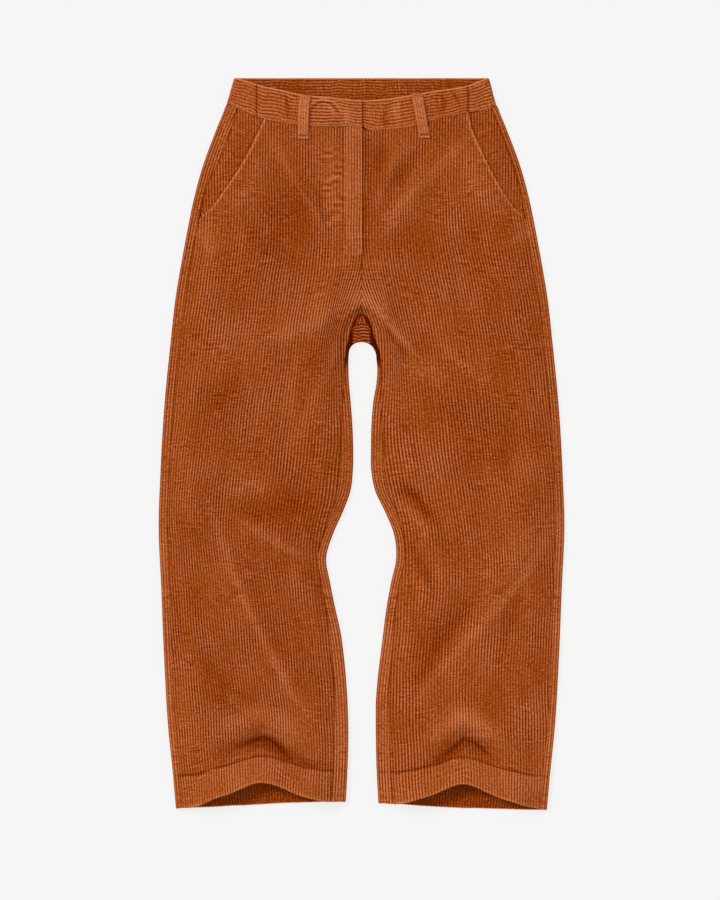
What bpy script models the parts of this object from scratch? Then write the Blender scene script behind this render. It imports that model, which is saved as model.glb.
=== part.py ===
"""Corduroy trousers laid flat on their back, front up.

Each cut piece is a wall of cloth with its own thickness. Its surface is worked out on a grid: x runs
across to the wearer's left, and down is the distance below the top edge of the back waistband. The
tables are in millimetres and give half widths, so that both legs come from the same functions.
"""

import math
from typing import NamedTuple

import bpy
import numpy as np

MM = 0.001
LENGTH = 985.0  # top edge of the back waistband to the lowest corner of the hem
RIGHT, LEFT = -1, 1  # the wearer's sides, as the sign of x

CLOTH = 1.6  # wall of the corduroy between its wales
HEM_CLOTH = 3.0  # the turned-up hem, two layers pressed together
BAND_CLOTH = 2.8  # waistband, outer and inner layer
LOOP_CLOTH = 2.4
LOOP_WIDTH = 14.0
SEAM_GAP = 0.3  # between two pieces that a seam joins
LAYER_GAP = 0.45  # between two pieces that lie on each other

PANEL_TOP = 36.0  # nominal rows of the leg panels, before the band's dip and the hem's arch
POCKET_END = 190.0
CROTCH = 331.0
HEM_FOLD = 942.0
HEM_STEP = 1.5
TOP_FADE = 135.0  # how far down the panels still follow the waistband's curve
HEM_FADE = 185.0  # how far up the panels still follow the hem's curve

FLY_END = 238.0
LAP_WIDTH = 24.0
LAP_UNDER = 4.5  # how far the left front reaches under the lap
LAP_RISE = CLOTH + LAYER_GAP
UNDERLAP = 38.0
SHIELD_WIDTH = 46.0
FACING_TUCK = 12.0
BAND_PROUD = 0.9  # how much higher than the panels the waistband's outer face is

BEND_STEPS = 5  # segments round a folded edge
FRONT_STEPS = 15
FLOOR_STEPS = 3
BAND_STEPS = 14
BAND_STRIP_STEPS = 3
BAND_FLOOR_STEPS = 6
FAN = 7  # rows that turn to follow the crotch do so close to it

ROWS = (
    [36, 62, 88, 114, 138, 163, 190, 216, 242, 266, 288, 306, 320]
    + [333, 341, 349, 357, 365, 373, 382, 392]
    + [408, 436, 466, 498, 528, 556, 584, 614, 646, 680, 714, 748, 782, 814, 842, 866, 888, 906, 924]
    + [HEM_FOLD - HEM_STEP, HEM_FOLD, 964, LENGTH]
)
CROTCH_ROW = ROWS.index(333)

# down, half width of the outline, height of the loft, radius of the folded edge
SECTIONS = [
    (0, 172.5, 14.5, 4.6),
    (34, 182, 14, 4.6),
    (72, 197, 14, 3.6),
    (115, 213, 15, 3.4),
    (158, 225, 16, 3.4),
    (201, 234, 17, 3.4),
    (244, 242, 17.5, 3.4),
    (298, 251, 17.5, 3.4),
    (352, 257, 17, 3.4),
    (444, 266, 16, 3.4),
    (541, 271.5, 14.5, 3.4),
    (600, 273.5, 14, 3.4),
    (687, 270, 14, 3.4),
    (784, 266, 14, 3.4),
    (882, 260, 15, 3.8),
    (930, 255, 16, 4.6),
    (985, 250, 18, 4.6),
]

# down, inner edge of the right leg, inner edge of the left leg
INNER_EDGES = [
    (380, 18, 21),
    (396, 18, 22),
    (428, 15.5, 17),
    (460, 13, 14),
    (493, 11.5, 13),
    (541, 13, 15),
    (560, 16, 20),
    (582, 24.5, 31),
    (606, 34.5, 41),
    (630, 46, 48),
    (655, 47.5, 45.5),
    (687, 41, 38.5),
    (720, 34.5, 33),
    (752, 27.5, 29),
    (784, 23.5, 25),
    (833, 19.5, 20),
    (882, 18, 19.5),
    (930, 19, 20.5),
    (985, 22, 23.5),
]

# lower edge of the fork for the right leg, from the centre outwards: x, down, and the same for the left
FORK_EDGE = [
    (0, 355, 0, 355),
    (4.5, 355.4, 4.5, 355.5),
    (9, 357, 10, 357.5),
    (13, 360, 15, 361.5),
    (16, 364.5, 18.3, 367),
    (17.3, 370, 20, 373),
    (17.8, 377, 20.6, 380),
    (18, 388, 21.6, 390),
]

# inseam across the crotch and down the inside of each leg, one row for each row of FORK_EDGE
CROTCH_SEAM = [
    (0, 331, 0, 331),
    (5.5, 331.2, 5.5, 331.2),
    (10.2, 333, 10.2, 333),
    (13.2, 340, 13.6, 340),
    (15.8, 349, 16.8, 349),
    (18.6, 358, 20.8, 359),
    (20.8, 368, 24.2, 370),
    (22.2, 384, 26, 386),
]

# down, half width of the arch that the fronts make over the fork
ARCH = [(296, -16), (304, -9), (312, 0), (320, 6.5), (331, 11), (346, 15), (359, 17.8), (372, 18.5)]
ARCH_WALL = 9.0  # width of the steep roll on each side of the arch
VALLEY_SLOPE = 0.09  # the fork's floor rises towards the waist

# down, how far the side seam lies inside the outline, right and left
SIDE_SEAM = [
    (0, 15, 8),
    (40, 17, 8.5),
    (97, 21, 9),
    (118, 19, 9),
    (140, 14, 9),
    (190, 12.5, 10),
    (325, 14, 11),
    (470, 12.5, 11),
    (985, 9, 9),
]

# down, how far the inseam lies inside the inner edge
INSEAM = [
    (380, 4.4),
    (408, 6),
    (450, 12),
    (501, 16.5),
    (568, 17),
    (620, 11.5),
    (660, 11),
    (803, 16),
    (985, 20),
]

# down, half width at the slanted pocket edge, right and left
POCKET_EDGE = [
    (36, 130.3, 143.5),
    (64, 140.5, 149.2),
    (87, 149.2, 158.5),
    (126, 168.1, 175.5),
    (145, 180.2, 185.3),
    (166, 195.1, 199.1),
    (190, 214.6, 216.7),
]

# x, top edge and lower edge of the front waistband
BAND_EDGES = [
    (-182, 0, 34),
    (-171, 0.4, 38.5),
    (-133, 11.5, 54),
    (-113, 15.7, 58.5),
    (-80, 23, 63.5),
    (-42, 26.5, 65),
    (-1, 30.6, 66.8),
    (5, 30.6, 68.6),
    (30, 28.9, 69),
    (68, 23.5, 64.5),
    (93, 18.8, 57.5),
    (142, 11, 46),
    (173, 0.4, 40.5),
    (183, 0, 36.5),
]
BAND_FLOOR = 35.5  # lower edge of the back waistband, where it lies on the floor
BAND_SEAM = {RIGHT: 141.0, LEFT: 144.0}
BAND_START = {RIGHT: 0.0, LEFT: -UNDERLAP}

# x, down of the hem's free edge at the front and where it lies on the floor
HEM_EDGES = [
    (-250, 983, 983),
    (-222, 979, 982),
    (-197, 968, 981),
    (-173, 960, 979.5),
    (-156, 952, 979),
    (-140, 947, 978),
    (-123, 948, 977),
    (-105, 954.5, 976),
    (-87, 962.5, 975.5),
    (-68, 968, 975),
    (-50, 972.5, 974.5),
    (-22, 974, 974),
    (22, 976, 976),
    (42, 976.5, 977),
    (61, 973.5, 978.5),
    (79, 968, 980),
    (97, 962.5, 981),
    (115, 954.5, 982),
    (128, 949.5, 982.5),
    (139, 948.5, 983),
    (152, 952, 983),
    (169, 960, 983.5),
    (188, 968, 984),
    (206, 973.5, 984.5),
    (223, 979, 985),
    (250, 985, 985),
]
HEM_LIFT = 13.0  # the open hem stands this much higher than the loft, in the middle of each leg
HEM_LIFT_REACH = 30.0

EDGE_RAMP = 45.0  # from a folded edge up to the loft
FORK_RAMP = 15.0
FOLD_FADE = 16.0


class Fold(NamedTuple):
    """A soft ridge, or a trough where rise is negative, along a line of (x, down) points."""

    rise: float
    width: float
    line: list


FOLDS = [
    Fold(2.5, 11, [(-118, 84), (-94, 110), (-66, 152)]),
    Fold(-2.5, 18, [(-150, 184), (-136, 212), (-119, 252)]),
    Fold(3, 11, [(106, 84), (60, 163), (19, 212)]),
    Fold(-2.5, 11, [(82, 92), (56, 126), (29, 163)]),
    Fold(2.5, 10, [(49, 98), (14, 160)]),
    Fold(3, 20, [(-22, 282), (-73, 323), (-104, 343), (-176, 343), (-204, 312)]),
    Fold(3, 10, [(9, 292), (34, 328), (73, 376)]),
    Fold(-2.5, 11, [(34, 300), (68, 342), (101, 386)]),
    Fold(2.5, 18, [(96, 333), (137, 376)]),
    Fold(-3, 11, [(-12, 296), (-32, 332), (-48, 392)]),
    Fold(2.5, 22, [(-246, 430), (-236, 500), (-222, 579)]),
    Fold(3.5, 14, [(-222, 579), (-171, 693), (-125, 770), (-83, 836), (-48, 885)]),
    Fold(-4, 14, [(-176, 578), (-112, 574), (-46, 563)]),
    Fold(3, 10, [(-160, 603), (-118, 622), (-83, 642)]),
    Fold(-2.5, 20, [(214, 421), (203, 498), (183, 566)]),
    Fold(2.5, 14, [(230, 508), (219, 556)]),
    Fold(-4, 12, [(38, 548), (75, 564), (101, 603)]),
    Fold(2.5, 12, [(60, 592), (111, 612)]),
    Fold(3.5, 16, [(245, 590), (209, 652), (178, 703), (132, 786)]),
    Fold(-3, 16, [(163, 678), (126, 729), (60, 816)]),
    Fold(-2, 14, [(94, 856), (132, 834), (165, 848)]),
    Fold(5, 12, [(-168, 874), (-134, 866), (-105, 886), (-72, 916)]),
    Fold(-7.5, 9, [(-194, 916), (-156, 898), (-134, 890), (-109, 900), (-90, 920), (-64, 926)]),
    Fold(4.5, 12, [(108, 880), (142, 862), (176, 886), (196, 912)]),
    Fold(-7.5, 9, [(92, 930), (111, 914), (140, 891), (165, 904), (182, 925)]),
]

# x at the top, x at the lower end, down at the top and at the lower end
LOOPS = {RIGHT: (-78.5, -78.5, 24, 81), LEFT: (75, 85, 21.6, 80)}
LOOP_BOW = 2.6  # how far the middle of a loop stands off the band

CORDUROY = (0.33, 0.07, 0.013, 1)
CORDUROY_SHADE = (0.24, 0.048, 0.01, 1)


def smooth(value):
    """Eases from 0 to 1 as value goes from 0 to 1."""
    value = np.clip(value, 0, 1)
    return value * value * (3 - 2 * value)


def curve(rows, column, at):
    """One column of a table read along its first column, on a smooth curve through its rows."""
    table = np.array(rows, float)
    x, y = table[:, 0], table[:, column]
    slope = np.gradient(y, x)
    at = np.clip(at, x[0], x[-1])
    k = np.clip(np.searchsorted(x, at) - 1, 0, len(x) - 2)
    width = x[k + 1] - x[k]
    t = (at - x[k]) / width
    start = (1 + 2 * t) * (1 - t) ** 2 * y[k] + t * (1 - t) ** 2 * slope[k] * width
    return start + t * t * (3 - 2 * t) * y[k + 1] + t * t * (t - 1) * slope[k + 1] * width


def of_side(side):
    """The column that holds a side's values in a table of right and left."""
    return 1 if side == RIGHT else 2


def inner_edge(side, down):
    return curve(INNER_EDGES, of_side(side), down)


def from_line(x, down, line):
    """The distance to a line of points, and how far along it the nearest place is, from 0 to 1."""
    points = np.array(line, float)
    lengths = np.hypot(*np.diff(points, axis=0).T)
    before = np.concatenate(([0], np.cumsum(lengths)))
    best, along = np.full(np.shape(x), 1e9), np.zeros(np.shape(x))
    for start, end, length, offset in zip(points, points[1:], lengths, before):
        step = (end - start) / length
        t = np.clip((x - start[0]) * step[0] + (down - start[1]) * step[1], 0, length)
        off = np.hypot(x - start[0] - t * step[0], down - start[1] - t * step[1])
        nearer = off < best
        best, along = np.where(nearer, off, best), np.where(nearer, (offset + t) / before[-1], along)
    return best, along


def folds(x, down):
    height = np.zeros(np.shape(x))
    for fold in FOLDS:
        off, along = from_line(x, down, fold.line)
        ends = smooth(along / 0.3) * smooth((1 - along) / 0.3)
        height = height + fold.rise * np.exp(-((off / fold.width) ** 2)) * (0.25 + 0.75 * ends)
    return height


def height(x, down):
    """The outer face of the cloth that lies on top, above the floor."""
    x, down = np.asarray(x, float), np.asarray(down, float)
    across = np.abs(x)
    outline, loft, radius = (curve(SECTIONS, column, down) for column in (1, 2, 3))
    from_side = outline - across
    inner = np.where(x < 0, inner_edge(RIGHT, down), inner_edge(LEFT, down))
    arch = curve(ARCH, 1, down)
    edge = np.where(down < 376, arch + (inner - arch) * smooth((down - 364) / 12), inner)
    from_inner = across - edge
    inner_ramp = FORK_RAMP + (EDGE_RAMP - FORK_RAMP) * smooth((down - 360) / 90)
    side_share = smooth((from_side - radius) / EDGE_RAMP)
    inner_share = smooth((from_inner - 2) / inner_ramp)
    rise = folds(x, down) * smooth((from_side - radius) / FOLD_FADE)
    rise = rise * smooth((from_inner - radius) / FOLD_FADE)
    hem = curve(HEM_EDGES, 1, x)
    rise = rise + HEM_LIFT * side_share * inner_share * np.exp(-(((hem - down) / HEM_LIFT_REACH) ** 2))
    top = 2 * radius + (loft - 2 * radius) * side_share * inner_share + rise
    fork = 2 * radius + VALLEY_SLOPE * np.clip(355 - down, 0, 60)
    wall = smooth((from_inner + 3) / ARCH_WALL)
    return np.where(down < 366, fork + (top - fork) * wall, top)


def lap(x, down):
    """How much the fly's lap lifts the right front: most at its edge, nothing past its stitching."""
    share = smooth((x + LAP_WIDTH + 6) / (LAP_WIDTH - 4))
    return LAP_RISE * share * smooth((FLY_END + 28 - down) / 24)


def down_at(row, x, on_top):
    """The place below the top edge of a nominal row: it follows the waistband at one end and the hem
    at the other. on_top is 1 on the upper cloth and 0 on the floor."""
    band = on_top * curve(BAND_EDGES, 2, x) + (1 - on_top) * BAND_FLOOR + SEAM_GAP / 2
    hem = on_top * curve(HEM_EDGES, 1, x) + (1 - on_top) * curve(HEM_EDGES, 2, x)
    near_top = np.clip((PANEL_TOP + TOP_FADE - row) / TOP_FADE, 0, 1)
    near_hem = np.clip((row - LENGTH + HEM_FADE) / HEM_FADE, 0, 1)
    return row + (band - PANEL_TOP) * near_top + (hem - LENGTH) * near_hem


class Wall:
    """A sheet of faces on outer points, each with its normal and thickness, made into a closed solid."""

    def __init__(self):
        self.points, self.normals, self.thick, self.faces, self.known = [], [], [], [], {}

    def point(self, place, normal, thick):
        key = tuple(round(value, 3) for value in place)
        if key not in self.known:
            self.known[key] = len(self.points)
            self.points.append(place)
            self.normals.append(normal)
            self.thick.append(thick)
        return self.known[key]

    def grid(self, rows):
        """Adds triangles between rows of (place, normal, thickness), each quad split along its shorter
        diagonal. The rows and the samples in them run so that the faces look outwards."""
        ids = [[self.point(*sample) for sample in row] for row in rows]
        for upper, lower in zip(ids, ids[1:]):
            for a, b, c, d in zip(upper, upper[1:], lower[1:], lower):
                across = math.dist(self.points[a], self.points[c])
                if across <= math.dist(self.points[b], self.points[d]):
                    split = ((a, d, c), (a, c, b))
                else:
                    split = ((a, d, b), (b, d, c))
                self.faces += [list(face) for face in split if len(set(face)) == 3]

    def build(self, name, material):
        outer = np.array(self.points, float)
        normals = np.array(self.normals, float)
        normals /= np.linalg.norm(normals, axis=1)[:, None]
        inner = outer - normals * np.array(self.thick)[:, None]
        count = len(outer)
        faces = list(self.faces)
        edges = {(a, b) for face in self.faces for a, b in zip(face, face[1:] + face[:1])}
        faces += [[v + count for v in reversed(face)] for face in self.faces]
        faces += [[b, a, a + count, b + count] for a, b in edges if (b, a) not in edges]
        places = np.concatenate((outer, inner))
        places = np.column_stack((places[:, 0], LENGTH / 2 - places[:, 1], places[:, 2])) * MM
        mesh = bpy.data.meshes.new(name)
        mesh.from_pydata(places.tolist(), [], faces)
        mesh.materials.append(material)
        mesh.shade_smooth()
        mesh.set_sharp_from_angle(angle=math.radians(50))
        piece = bpy.data.objects.new(name, mesh)
        bpy.context.scene.collection.objects.link(piece)
        return piece


def on_cloth(x, down, lift=0.0, thick=CLOTH, surface=height):
    """A sample on the upper cloth, moved out along its normal by lift."""
    slope_x = (surface(x + 1.0, down) - surface(x - 1.0, down)) / 2
    slope_d = (surface(x, down + 1.0) - surface(x, down - 1.0)) / 2
    normal = np.array((-float(slope_x), -float(slope_d), 1.0))
    normal /= np.linalg.norm(normal)
    place = np.array((float(x), float(down), float(surface(x, down)))) + normal * lift
    return tuple(place), tuple(normal), thick


def thickness(row):
    return HEM_CLOTH if row >= HEM_FOLD else CLOTH


def folded_edge(x, down, inward, radius, thick, row=None):
    """Samples round a folded edge, from the upper cloth to the floor. inward is a flat unit vector.
    With a row, each sample lies where that row does at its own height."""
    samples = []
    for step in range(BEND_STEPS + 1):
        angle = math.pi * (0.5 - step / BEND_STEPS)
        back = radius * (1 - math.cos(angle))
        if row is not None:
            down = float(down_at(row, x, 0.5 + 0.5 * math.sin(angle)))
        place = (x + inward[0] * back, down + inward[1] * back, radius + radius * math.sin(angle))
        normal = (-inward[0] * math.cos(angle), -inward[1] * math.cos(angle), math.sin(angle))
        samples.append((place, normal, thick))
    return samples


def settle(row, x_at, on_top):
    """x and down of a boundary at a nominal row, where x_at gives its x from down."""
    down = row
    for _ in range(4):
        x = float(x_at(down))
        down = float(down_at(row, x, on_top))
    return x, down


def side_seam(side, row):
    inset = curve(SIDE_SEAM, of_side(side), row)
    return settle(row, lambda down: side * (curve(SECTIONS, 1, down) - inset), 1)


def front_edge(side, row):
    """The front's outer boundary: the slanted pocket edge, then the side seam."""
    if row >= POCKET_END:
        x, down = side_seam(side, row)
        return x - side * SEAM_GAP / 2, down
    x = side * float(curve(POCKET_EDGE, of_side(side), row))
    return x, float(down_at(row, x, 1))


def outline(side, row):
    return settle(row, lambda down: side * curve(SECTIONS, 1, down), 0.5)


def table_line(table, side):
    pair = (0, 1) if side == RIGHT else (2, 3)
    return [(side * row[pair[0]], row[pair[1]]) for row in table]


def inner_line(side):
    """The inner silhouette from the middle of the fork to the hem."""
    line = table_line(FORK_EDGE, side)
    for row in ROWS[CROTCH_ROW + len(line) :]:
        line.append(settle(row, lambda down: side * inner_edge(side, down), 0.5))
    return line


def seam_line(side, gap):
    """The inseam from the crotch point to the hem, moved by gap towards the front's side."""
    line = table_line(CROTCH_SEAM, side)
    for row in ROWS[CROTCH_ROW + len(line) :]:
        inset = curve(INSEAM, 1, row)
        line.append(settle(row, lambda down, inset=inset: side * (inner_edge(side, down) + inset), 1))
    points = np.array(line, float)
    along = np.gradient(points, axis=0)
    along /= np.linalg.norm(along, axis=1)[:, None]
    points += np.column_stack((along[:, 1], -along[:, 0])) * side * gap
    points[0] = (side * SEAM_GAP / 2, CROTCH - gap)
    return points


def front_panel(name, side, material):
    wall, rows = Wall(), []
    is_right = side == RIGHT
    seam = seam_line(side, SEAM_GAP / 2)
    for index, row in enumerate(ROWS):
        outer_x, outer_down = front_edge(side, row)
        if index < CROTCH_ROW:
            under = 0 if is_right or row > FLY_END else LAP_UNDER
            inner_x = side * SEAM_GAP / 2 - under
            inner_down = float(down_at(row, inner_x, 1))
        else:
            inner_x, inner_down = seam[index - CROTCH_ROW]
        shift = inner_down - float(down_at(row, inner_x, 1))
        samples = []
        for step in range(FRONT_STEPS + 1):
            share = step / FRONT_STEPS
            x = outer_x + (inner_x - outer_x) * share
            down = float(down_at(row, x, 1)) + shift * share**FAN
            samples.append(on_cloth(x, down, 0, thickness(row), lapped if is_right else height))
        rows.append(samples if is_right else samples[::-1])
    wall.grid(rows)
    return wall.build(name, material)


def back_panel(name, side, material):
    """The side strip on top, the folded edge and the floor, and from the crotch on the inner edge
    with the strip up to the inseam."""
    wall, outer_rows, inner_rows = Wall(), [], []
    fork = len(FORK_EDGE)
    seam = seam_line(side, -SEAM_GAP / 2)
    inner = np.array(inner_line(side))
    along = np.gradient(inner, axis=0)
    along[0] = (side, 0)
    inward = np.column_stack((along[:, 1], -along[:, 0])) * side
    inward /= np.linalg.norm(inward, axis=1)[:, None]
    for index, row in enumerate(ROWS):
        thick = thickness(row)
        seam_x, seam_down = side_seam(side, row)
        x, down = outline(side, row)
        radius = float(curve(SECTIONS, 3, down))
        samples = [on_cloth(seam_x + side * SEAM_GAP / 2, seam_down, 0, thick)]
        samples += folded_edge(x, down, (-side, 0), radius, thick, row)
        place = len(ROWS) if index < CROTCH_ROW else index - CROTCH_ROW
        if index < CROTCH_ROW:
            end = (side * SEAM_GAP / 2, float(down_at(row, 0, 0)))
        else:
            x, down = inner[place]
            x += side * SEAM_GAP / 2 if place == 0 else 0
            radius = float(curve(SECTIONS, 3, down))
            wrap = folded_edge(x, down, inward[place], radius, thick, row if place >= fork else None)
            end = wrap[-1][0][:2]
            strip = [
                on_cloth(*(seam[place] + (np.array(wrap[0][0][:2]) - seam[place]) * share), 0, thick)
                for share in (0, 0.5)
            ]
            inner_rows.append(strip + wrap)
        start = samples[-1][0][:2]
        for step in range(1, FLOOR_STEPS + 1):
            share = step / FLOOR_STEPS
            x = start[0] + (end[0] - start[0]) * share
            down = float(down_at(row, x, 0)) if row > 500 else start[1] + (end[1] - start[1]) * share
            down = end[1] if step == FLOOR_STEPS else down
            samples.append(((x, down, 0.0), (0, 0, -1.0), thick))
        outer_rows.append(samples)
    if side == RIGHT:
        outer_rows = [row[::-1] for row in outer_rows]
    else:
        inner_rows = [row[::-1] for row in inner_rows]
    wall.grid(outer_rows)
    wall.grid(inner_rows)
    return wall.build(name, material)


def lapped(x, down):
    return height(x, down) + lap(x, down)


def pocket_facing(name, side, material):
    """Lies under the front's slanted edge, and comes up to meet the back at the side seam."""
    wall, rows = Wall(), []
    for row in [row for row in ROWS if row <= POCKET_END] + [POCKET_END + 15]:
        below = row > POCKET_END
        edge_x = side * float(curve(POCKET_EDGE, of_side(side), min(row, POCKET_END)))
        seam_x = side_seam(side, min(row, POCKET_END))[0] - side * (8 if below else SEAM_GAP / 2)
        edge_x = min(edge_x, seam_x - 1.5, key=abs) if side == LEFT else max(edge_x, seam_x + 1.5)
        samples = []
        for tuck, share in ((FACING_TUCK, 0), (0, 0), (0, 0.33), (0, 0.67), (0, 1)):
            x = edge_x - side * tuck + (seam_x - edge_x) * share
            down = float(down_at(row, x, 1))
            up = 0 if below else smooth((side * (x - edge_x) - 7) / 18)
            sunk = (CLOTH + LAYER_GAP) * (1 - up) + (1.5 if below else 0)
            samples.append(on_cloth(x, down, -sunk, CLOTH))
        rows.append(samples if side == RIGHT else samples[::-1])
    wall.grid([row[::-1] for row in rows])
    return wall.build(name, material)


def fly_shield(name, material):
    wall, rows = Wall(), []
    for row in [row for row in ROWS if row < FLY_END + 10]:
        inner_x = 3.0
        outer_x = -SHIELD_WIDTH * float(smooth((FLY_END + 40 - row) / 60))
        samples = []
        for share in (0, 0.5, 1):
            x = outer_x + (inner_x - outer_x) * share
            samples.append(on_cloth(x, float(down_at(row, x, 1)) + 1, -CLOTH - LAYER_GAP, CLOTH))
        rows.append(samples)
    wall.grid(rows)
    return wall.build(name, material)


def band_place(x, share):
    """down on the front waistband, from its top edge to its lower edge."""
    top, bottom = float(curve(BAND_EDGES, 1, x)), float(curve(BAND_EDGES, 2, x)) - SEAM_GAP / 2
    return top + (bottom - top) * share


BAND_SHARES = (0, 0.08, 0.5, 0.92, 1)
BAND_ROLL = (1.0, 0, 0, 0, 0.8)  # how much lower the band's two edges are rounded


def band_lift(side, x):
    """The right front's end lies on the left front's underlap."""
    if side == RIGHT:
        return 1.9 * float(smooth((x + UNDERLAP + 24) / 22))
    return -1.5 * float(smooth((14 - x) / 14))


def front_band(name, side, material):
    wall, rows = Wall(), []
    start, end = BAND_START[side], side * (BAND_SEAM[side] - SEAM_GAP / 2)
    start = start - SEAM_GAP / 2 if side == RIGHT else start
    for share, roll in zip(BAND_SHARES, BAND_ROLL):
        samples = []
        for step in range(BAND_STEPS + 1):
            x = start + (end - start) * step / BAND_STEPS
            lift = BAND_PROUD + band_lift(side, x) - roll
            short = 2.2 * share * float(smooth((12 - x) / 10)) if side == LEFT else 0
            samples.append(on_cloth(x, band_place(x, share) - short, lift, BAND_CLOTH - roll))
        rows.append(samples if side == LEFT else samples[::-1])
    wall.grid(rows)
    return wall.build(name, material)


def back_band(name, material):
    """One strip, from the seam on the right front round both corners to the seam on the left front."""
    wall, rows = Wall(), []
    for share, roll in zip(BAND_SHARES, BAND_ROLL):
        halves = []
        for side in (RIGHT, LEFT):
            start = side * (BAND_SEAM[side] + SEAM_GAP / 2)
            floor_down = BAND_FLOOR * share
            x = side * float(curve(SECTIONS, 1, floor_down))
            radius = float(curve(SECTIONS, 3, floor_down))
            half = []
            for step in range(BAND_STRIP_STEPS):
                at = start + (x - side * (radius + 1) - start) * step / BAND_STRIP_STEPS
                proud = BAND_PROUD * (1 - step / BAND_STRIP_STEPS) ** 2
                half.append(on_cloth(at, band_place(at, share), proud - roll, BAND_CLOTH - roll))
            for place, normal, thick in folded_edge(x, floor_down, (-side, 0), radius, BAND_CLOTH - roll):
                top = 0.5 + 0.5 * normal[2]
                down = band_place(x, share) * top + floor_down * (1 - top)
                sunk = roll if place[2] > 0.01 else 0
                half.append(((place[0] - normal[0] * sunk, down, place[2] - normal[2] * sunk), normal, thick))
            halves.append(half)
        right, left = halves
        start, end = right[-1][0][0], left[-1][0][0]
        middle = []
        for step in range(1, BAND_FLOOR_STEPS):
            x = start + (end - start) * step / BAND_FLOOR_STEPS
            middle.append(((x, BAND_FLOOR * share, 0.0), (0, 0, -1.0), BAND_CLOTH - roll))
        rows.append((right + middle + left[::-1])[::-1])
    wall.grid(rows)
    return wall.build(name, material)


def belt_loop(name, side, material):
    """A strap over the band: both ends lie on the cloth and the middle stands off it."""
    top_x, low_x, top_down, low_down = LOOPS[side]
    wall, rows = Wall(), []
    for share in (0, 0.06, 0.14, 0.3, 0.5, 0.68, 0.8, 0.87, 0.94, 1):
        middle_x = top_x + (low_x - top_x) * share
        down = top_down + (low_down - top_down) * share
        samples = []
        for across in (-1, -0.6, 0.6, 1):
            x = middle_x + across * LOOP_WIDTH / 2
            proud = BAND_PROUD * float(smooth((curve(BAND_EDGES, 2, x) + 6 - down) / 6))
            bow = LOOP_BOW * float(smooth(share / 0.25) * smooth((0.9 - share) / 0.25))
            edge = 0.5 if abs(across) == 1 else 0
            thick = LOOP_CLOTH - edge
            samples.append(on_cloth(x, down, proud + LAYER_GAP + bow + thick, thick))
        rows.append(samples)
    wall.grid(rows)
    return wall.build(name, material)


def cloth(name, colour):
    material = bpy.data.materials.new(name)
    material.use_nodes = True
    shader = material.node_tree.nodes["Principled BSDF"]
    shader.inputs["Base Color"].default_value = colour
    shader.inputs["Roughness"].default_value = 0.85
    shader.inputs["Metallic"].default_value = 0.0
    return material


def main():
    for item in list(bpy.data.objects):
        bpy.data.objects.remove(item)
    corduroy = cloth("corduroy", CORDUROY)
    shade = cloth("corduroy_inside", CORDUROY_SHADE)
    for word, side in (("right", RIGHT), ("left", LEFT)):
        front_panel(f"front_{word}", side, corduroy)
        back_panel(f"back_{word}", side, corduroy)
        pocket_facing(f"pocket_facing_{word}", side, corduroy)
        front_band(f"waistband_front_{word}", side, corduroy)
        belt_loop(f"belt_loop_{word}", side, corduroy)
    back_band("waistband_back", corduroy)
    fly_shield("fly_shield", shade)


main()
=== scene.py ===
"""Corduroy trousers laid flat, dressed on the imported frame: shells of cloth with raised wales, seams,
turned-up hems, stitching, and a corduroy finish with a nap.

Shapes are worked out in millimetres on a plane: x runs to the wearer's left, down is the distance
below the top edge of the back waistband, and z is the height above the floor.
"""

import math
from typing import NamedTuple

import bpy
import numpy as np
from bpy.props import FloatProperty, FloatVectorProperty, PointerProperty
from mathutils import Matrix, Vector


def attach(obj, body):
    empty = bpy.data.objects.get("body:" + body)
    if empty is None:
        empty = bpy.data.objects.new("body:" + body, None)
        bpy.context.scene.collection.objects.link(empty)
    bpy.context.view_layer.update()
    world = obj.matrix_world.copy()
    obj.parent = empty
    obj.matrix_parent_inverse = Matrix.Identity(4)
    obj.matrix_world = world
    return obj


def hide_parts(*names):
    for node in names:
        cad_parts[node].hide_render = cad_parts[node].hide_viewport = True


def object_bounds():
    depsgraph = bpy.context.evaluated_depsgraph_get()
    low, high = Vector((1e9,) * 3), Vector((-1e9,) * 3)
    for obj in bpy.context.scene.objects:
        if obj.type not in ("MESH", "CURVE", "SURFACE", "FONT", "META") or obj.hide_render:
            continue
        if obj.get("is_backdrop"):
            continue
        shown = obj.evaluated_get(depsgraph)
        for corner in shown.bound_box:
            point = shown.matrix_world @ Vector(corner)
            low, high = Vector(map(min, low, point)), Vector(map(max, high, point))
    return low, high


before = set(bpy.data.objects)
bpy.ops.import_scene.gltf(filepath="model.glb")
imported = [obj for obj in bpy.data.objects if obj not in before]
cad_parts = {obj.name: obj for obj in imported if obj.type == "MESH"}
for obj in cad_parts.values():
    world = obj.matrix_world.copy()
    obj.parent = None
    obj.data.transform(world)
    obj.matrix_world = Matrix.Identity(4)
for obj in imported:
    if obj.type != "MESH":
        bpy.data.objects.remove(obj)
CAD_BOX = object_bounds()

bl_info = {
    "name": "Corduroy Trousers",
    "version": (1, 0, 0),
    "blender": (4, 5, 0),
    "location": "View3D > Sidebar > Trousers",
    "description": "Builds a pair of wide-wale corduroy trousers laid flat",
    "category": "Add Mesh",
}

MM = 0.001
LENGTH = 985.0  # from the waist's top edge to the longer hem
RIGHT, LEFT = -1, 1  # the wearer's sides, as the sign of x
WORD = {RIGHT: "right", LEFT: "left"}

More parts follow.
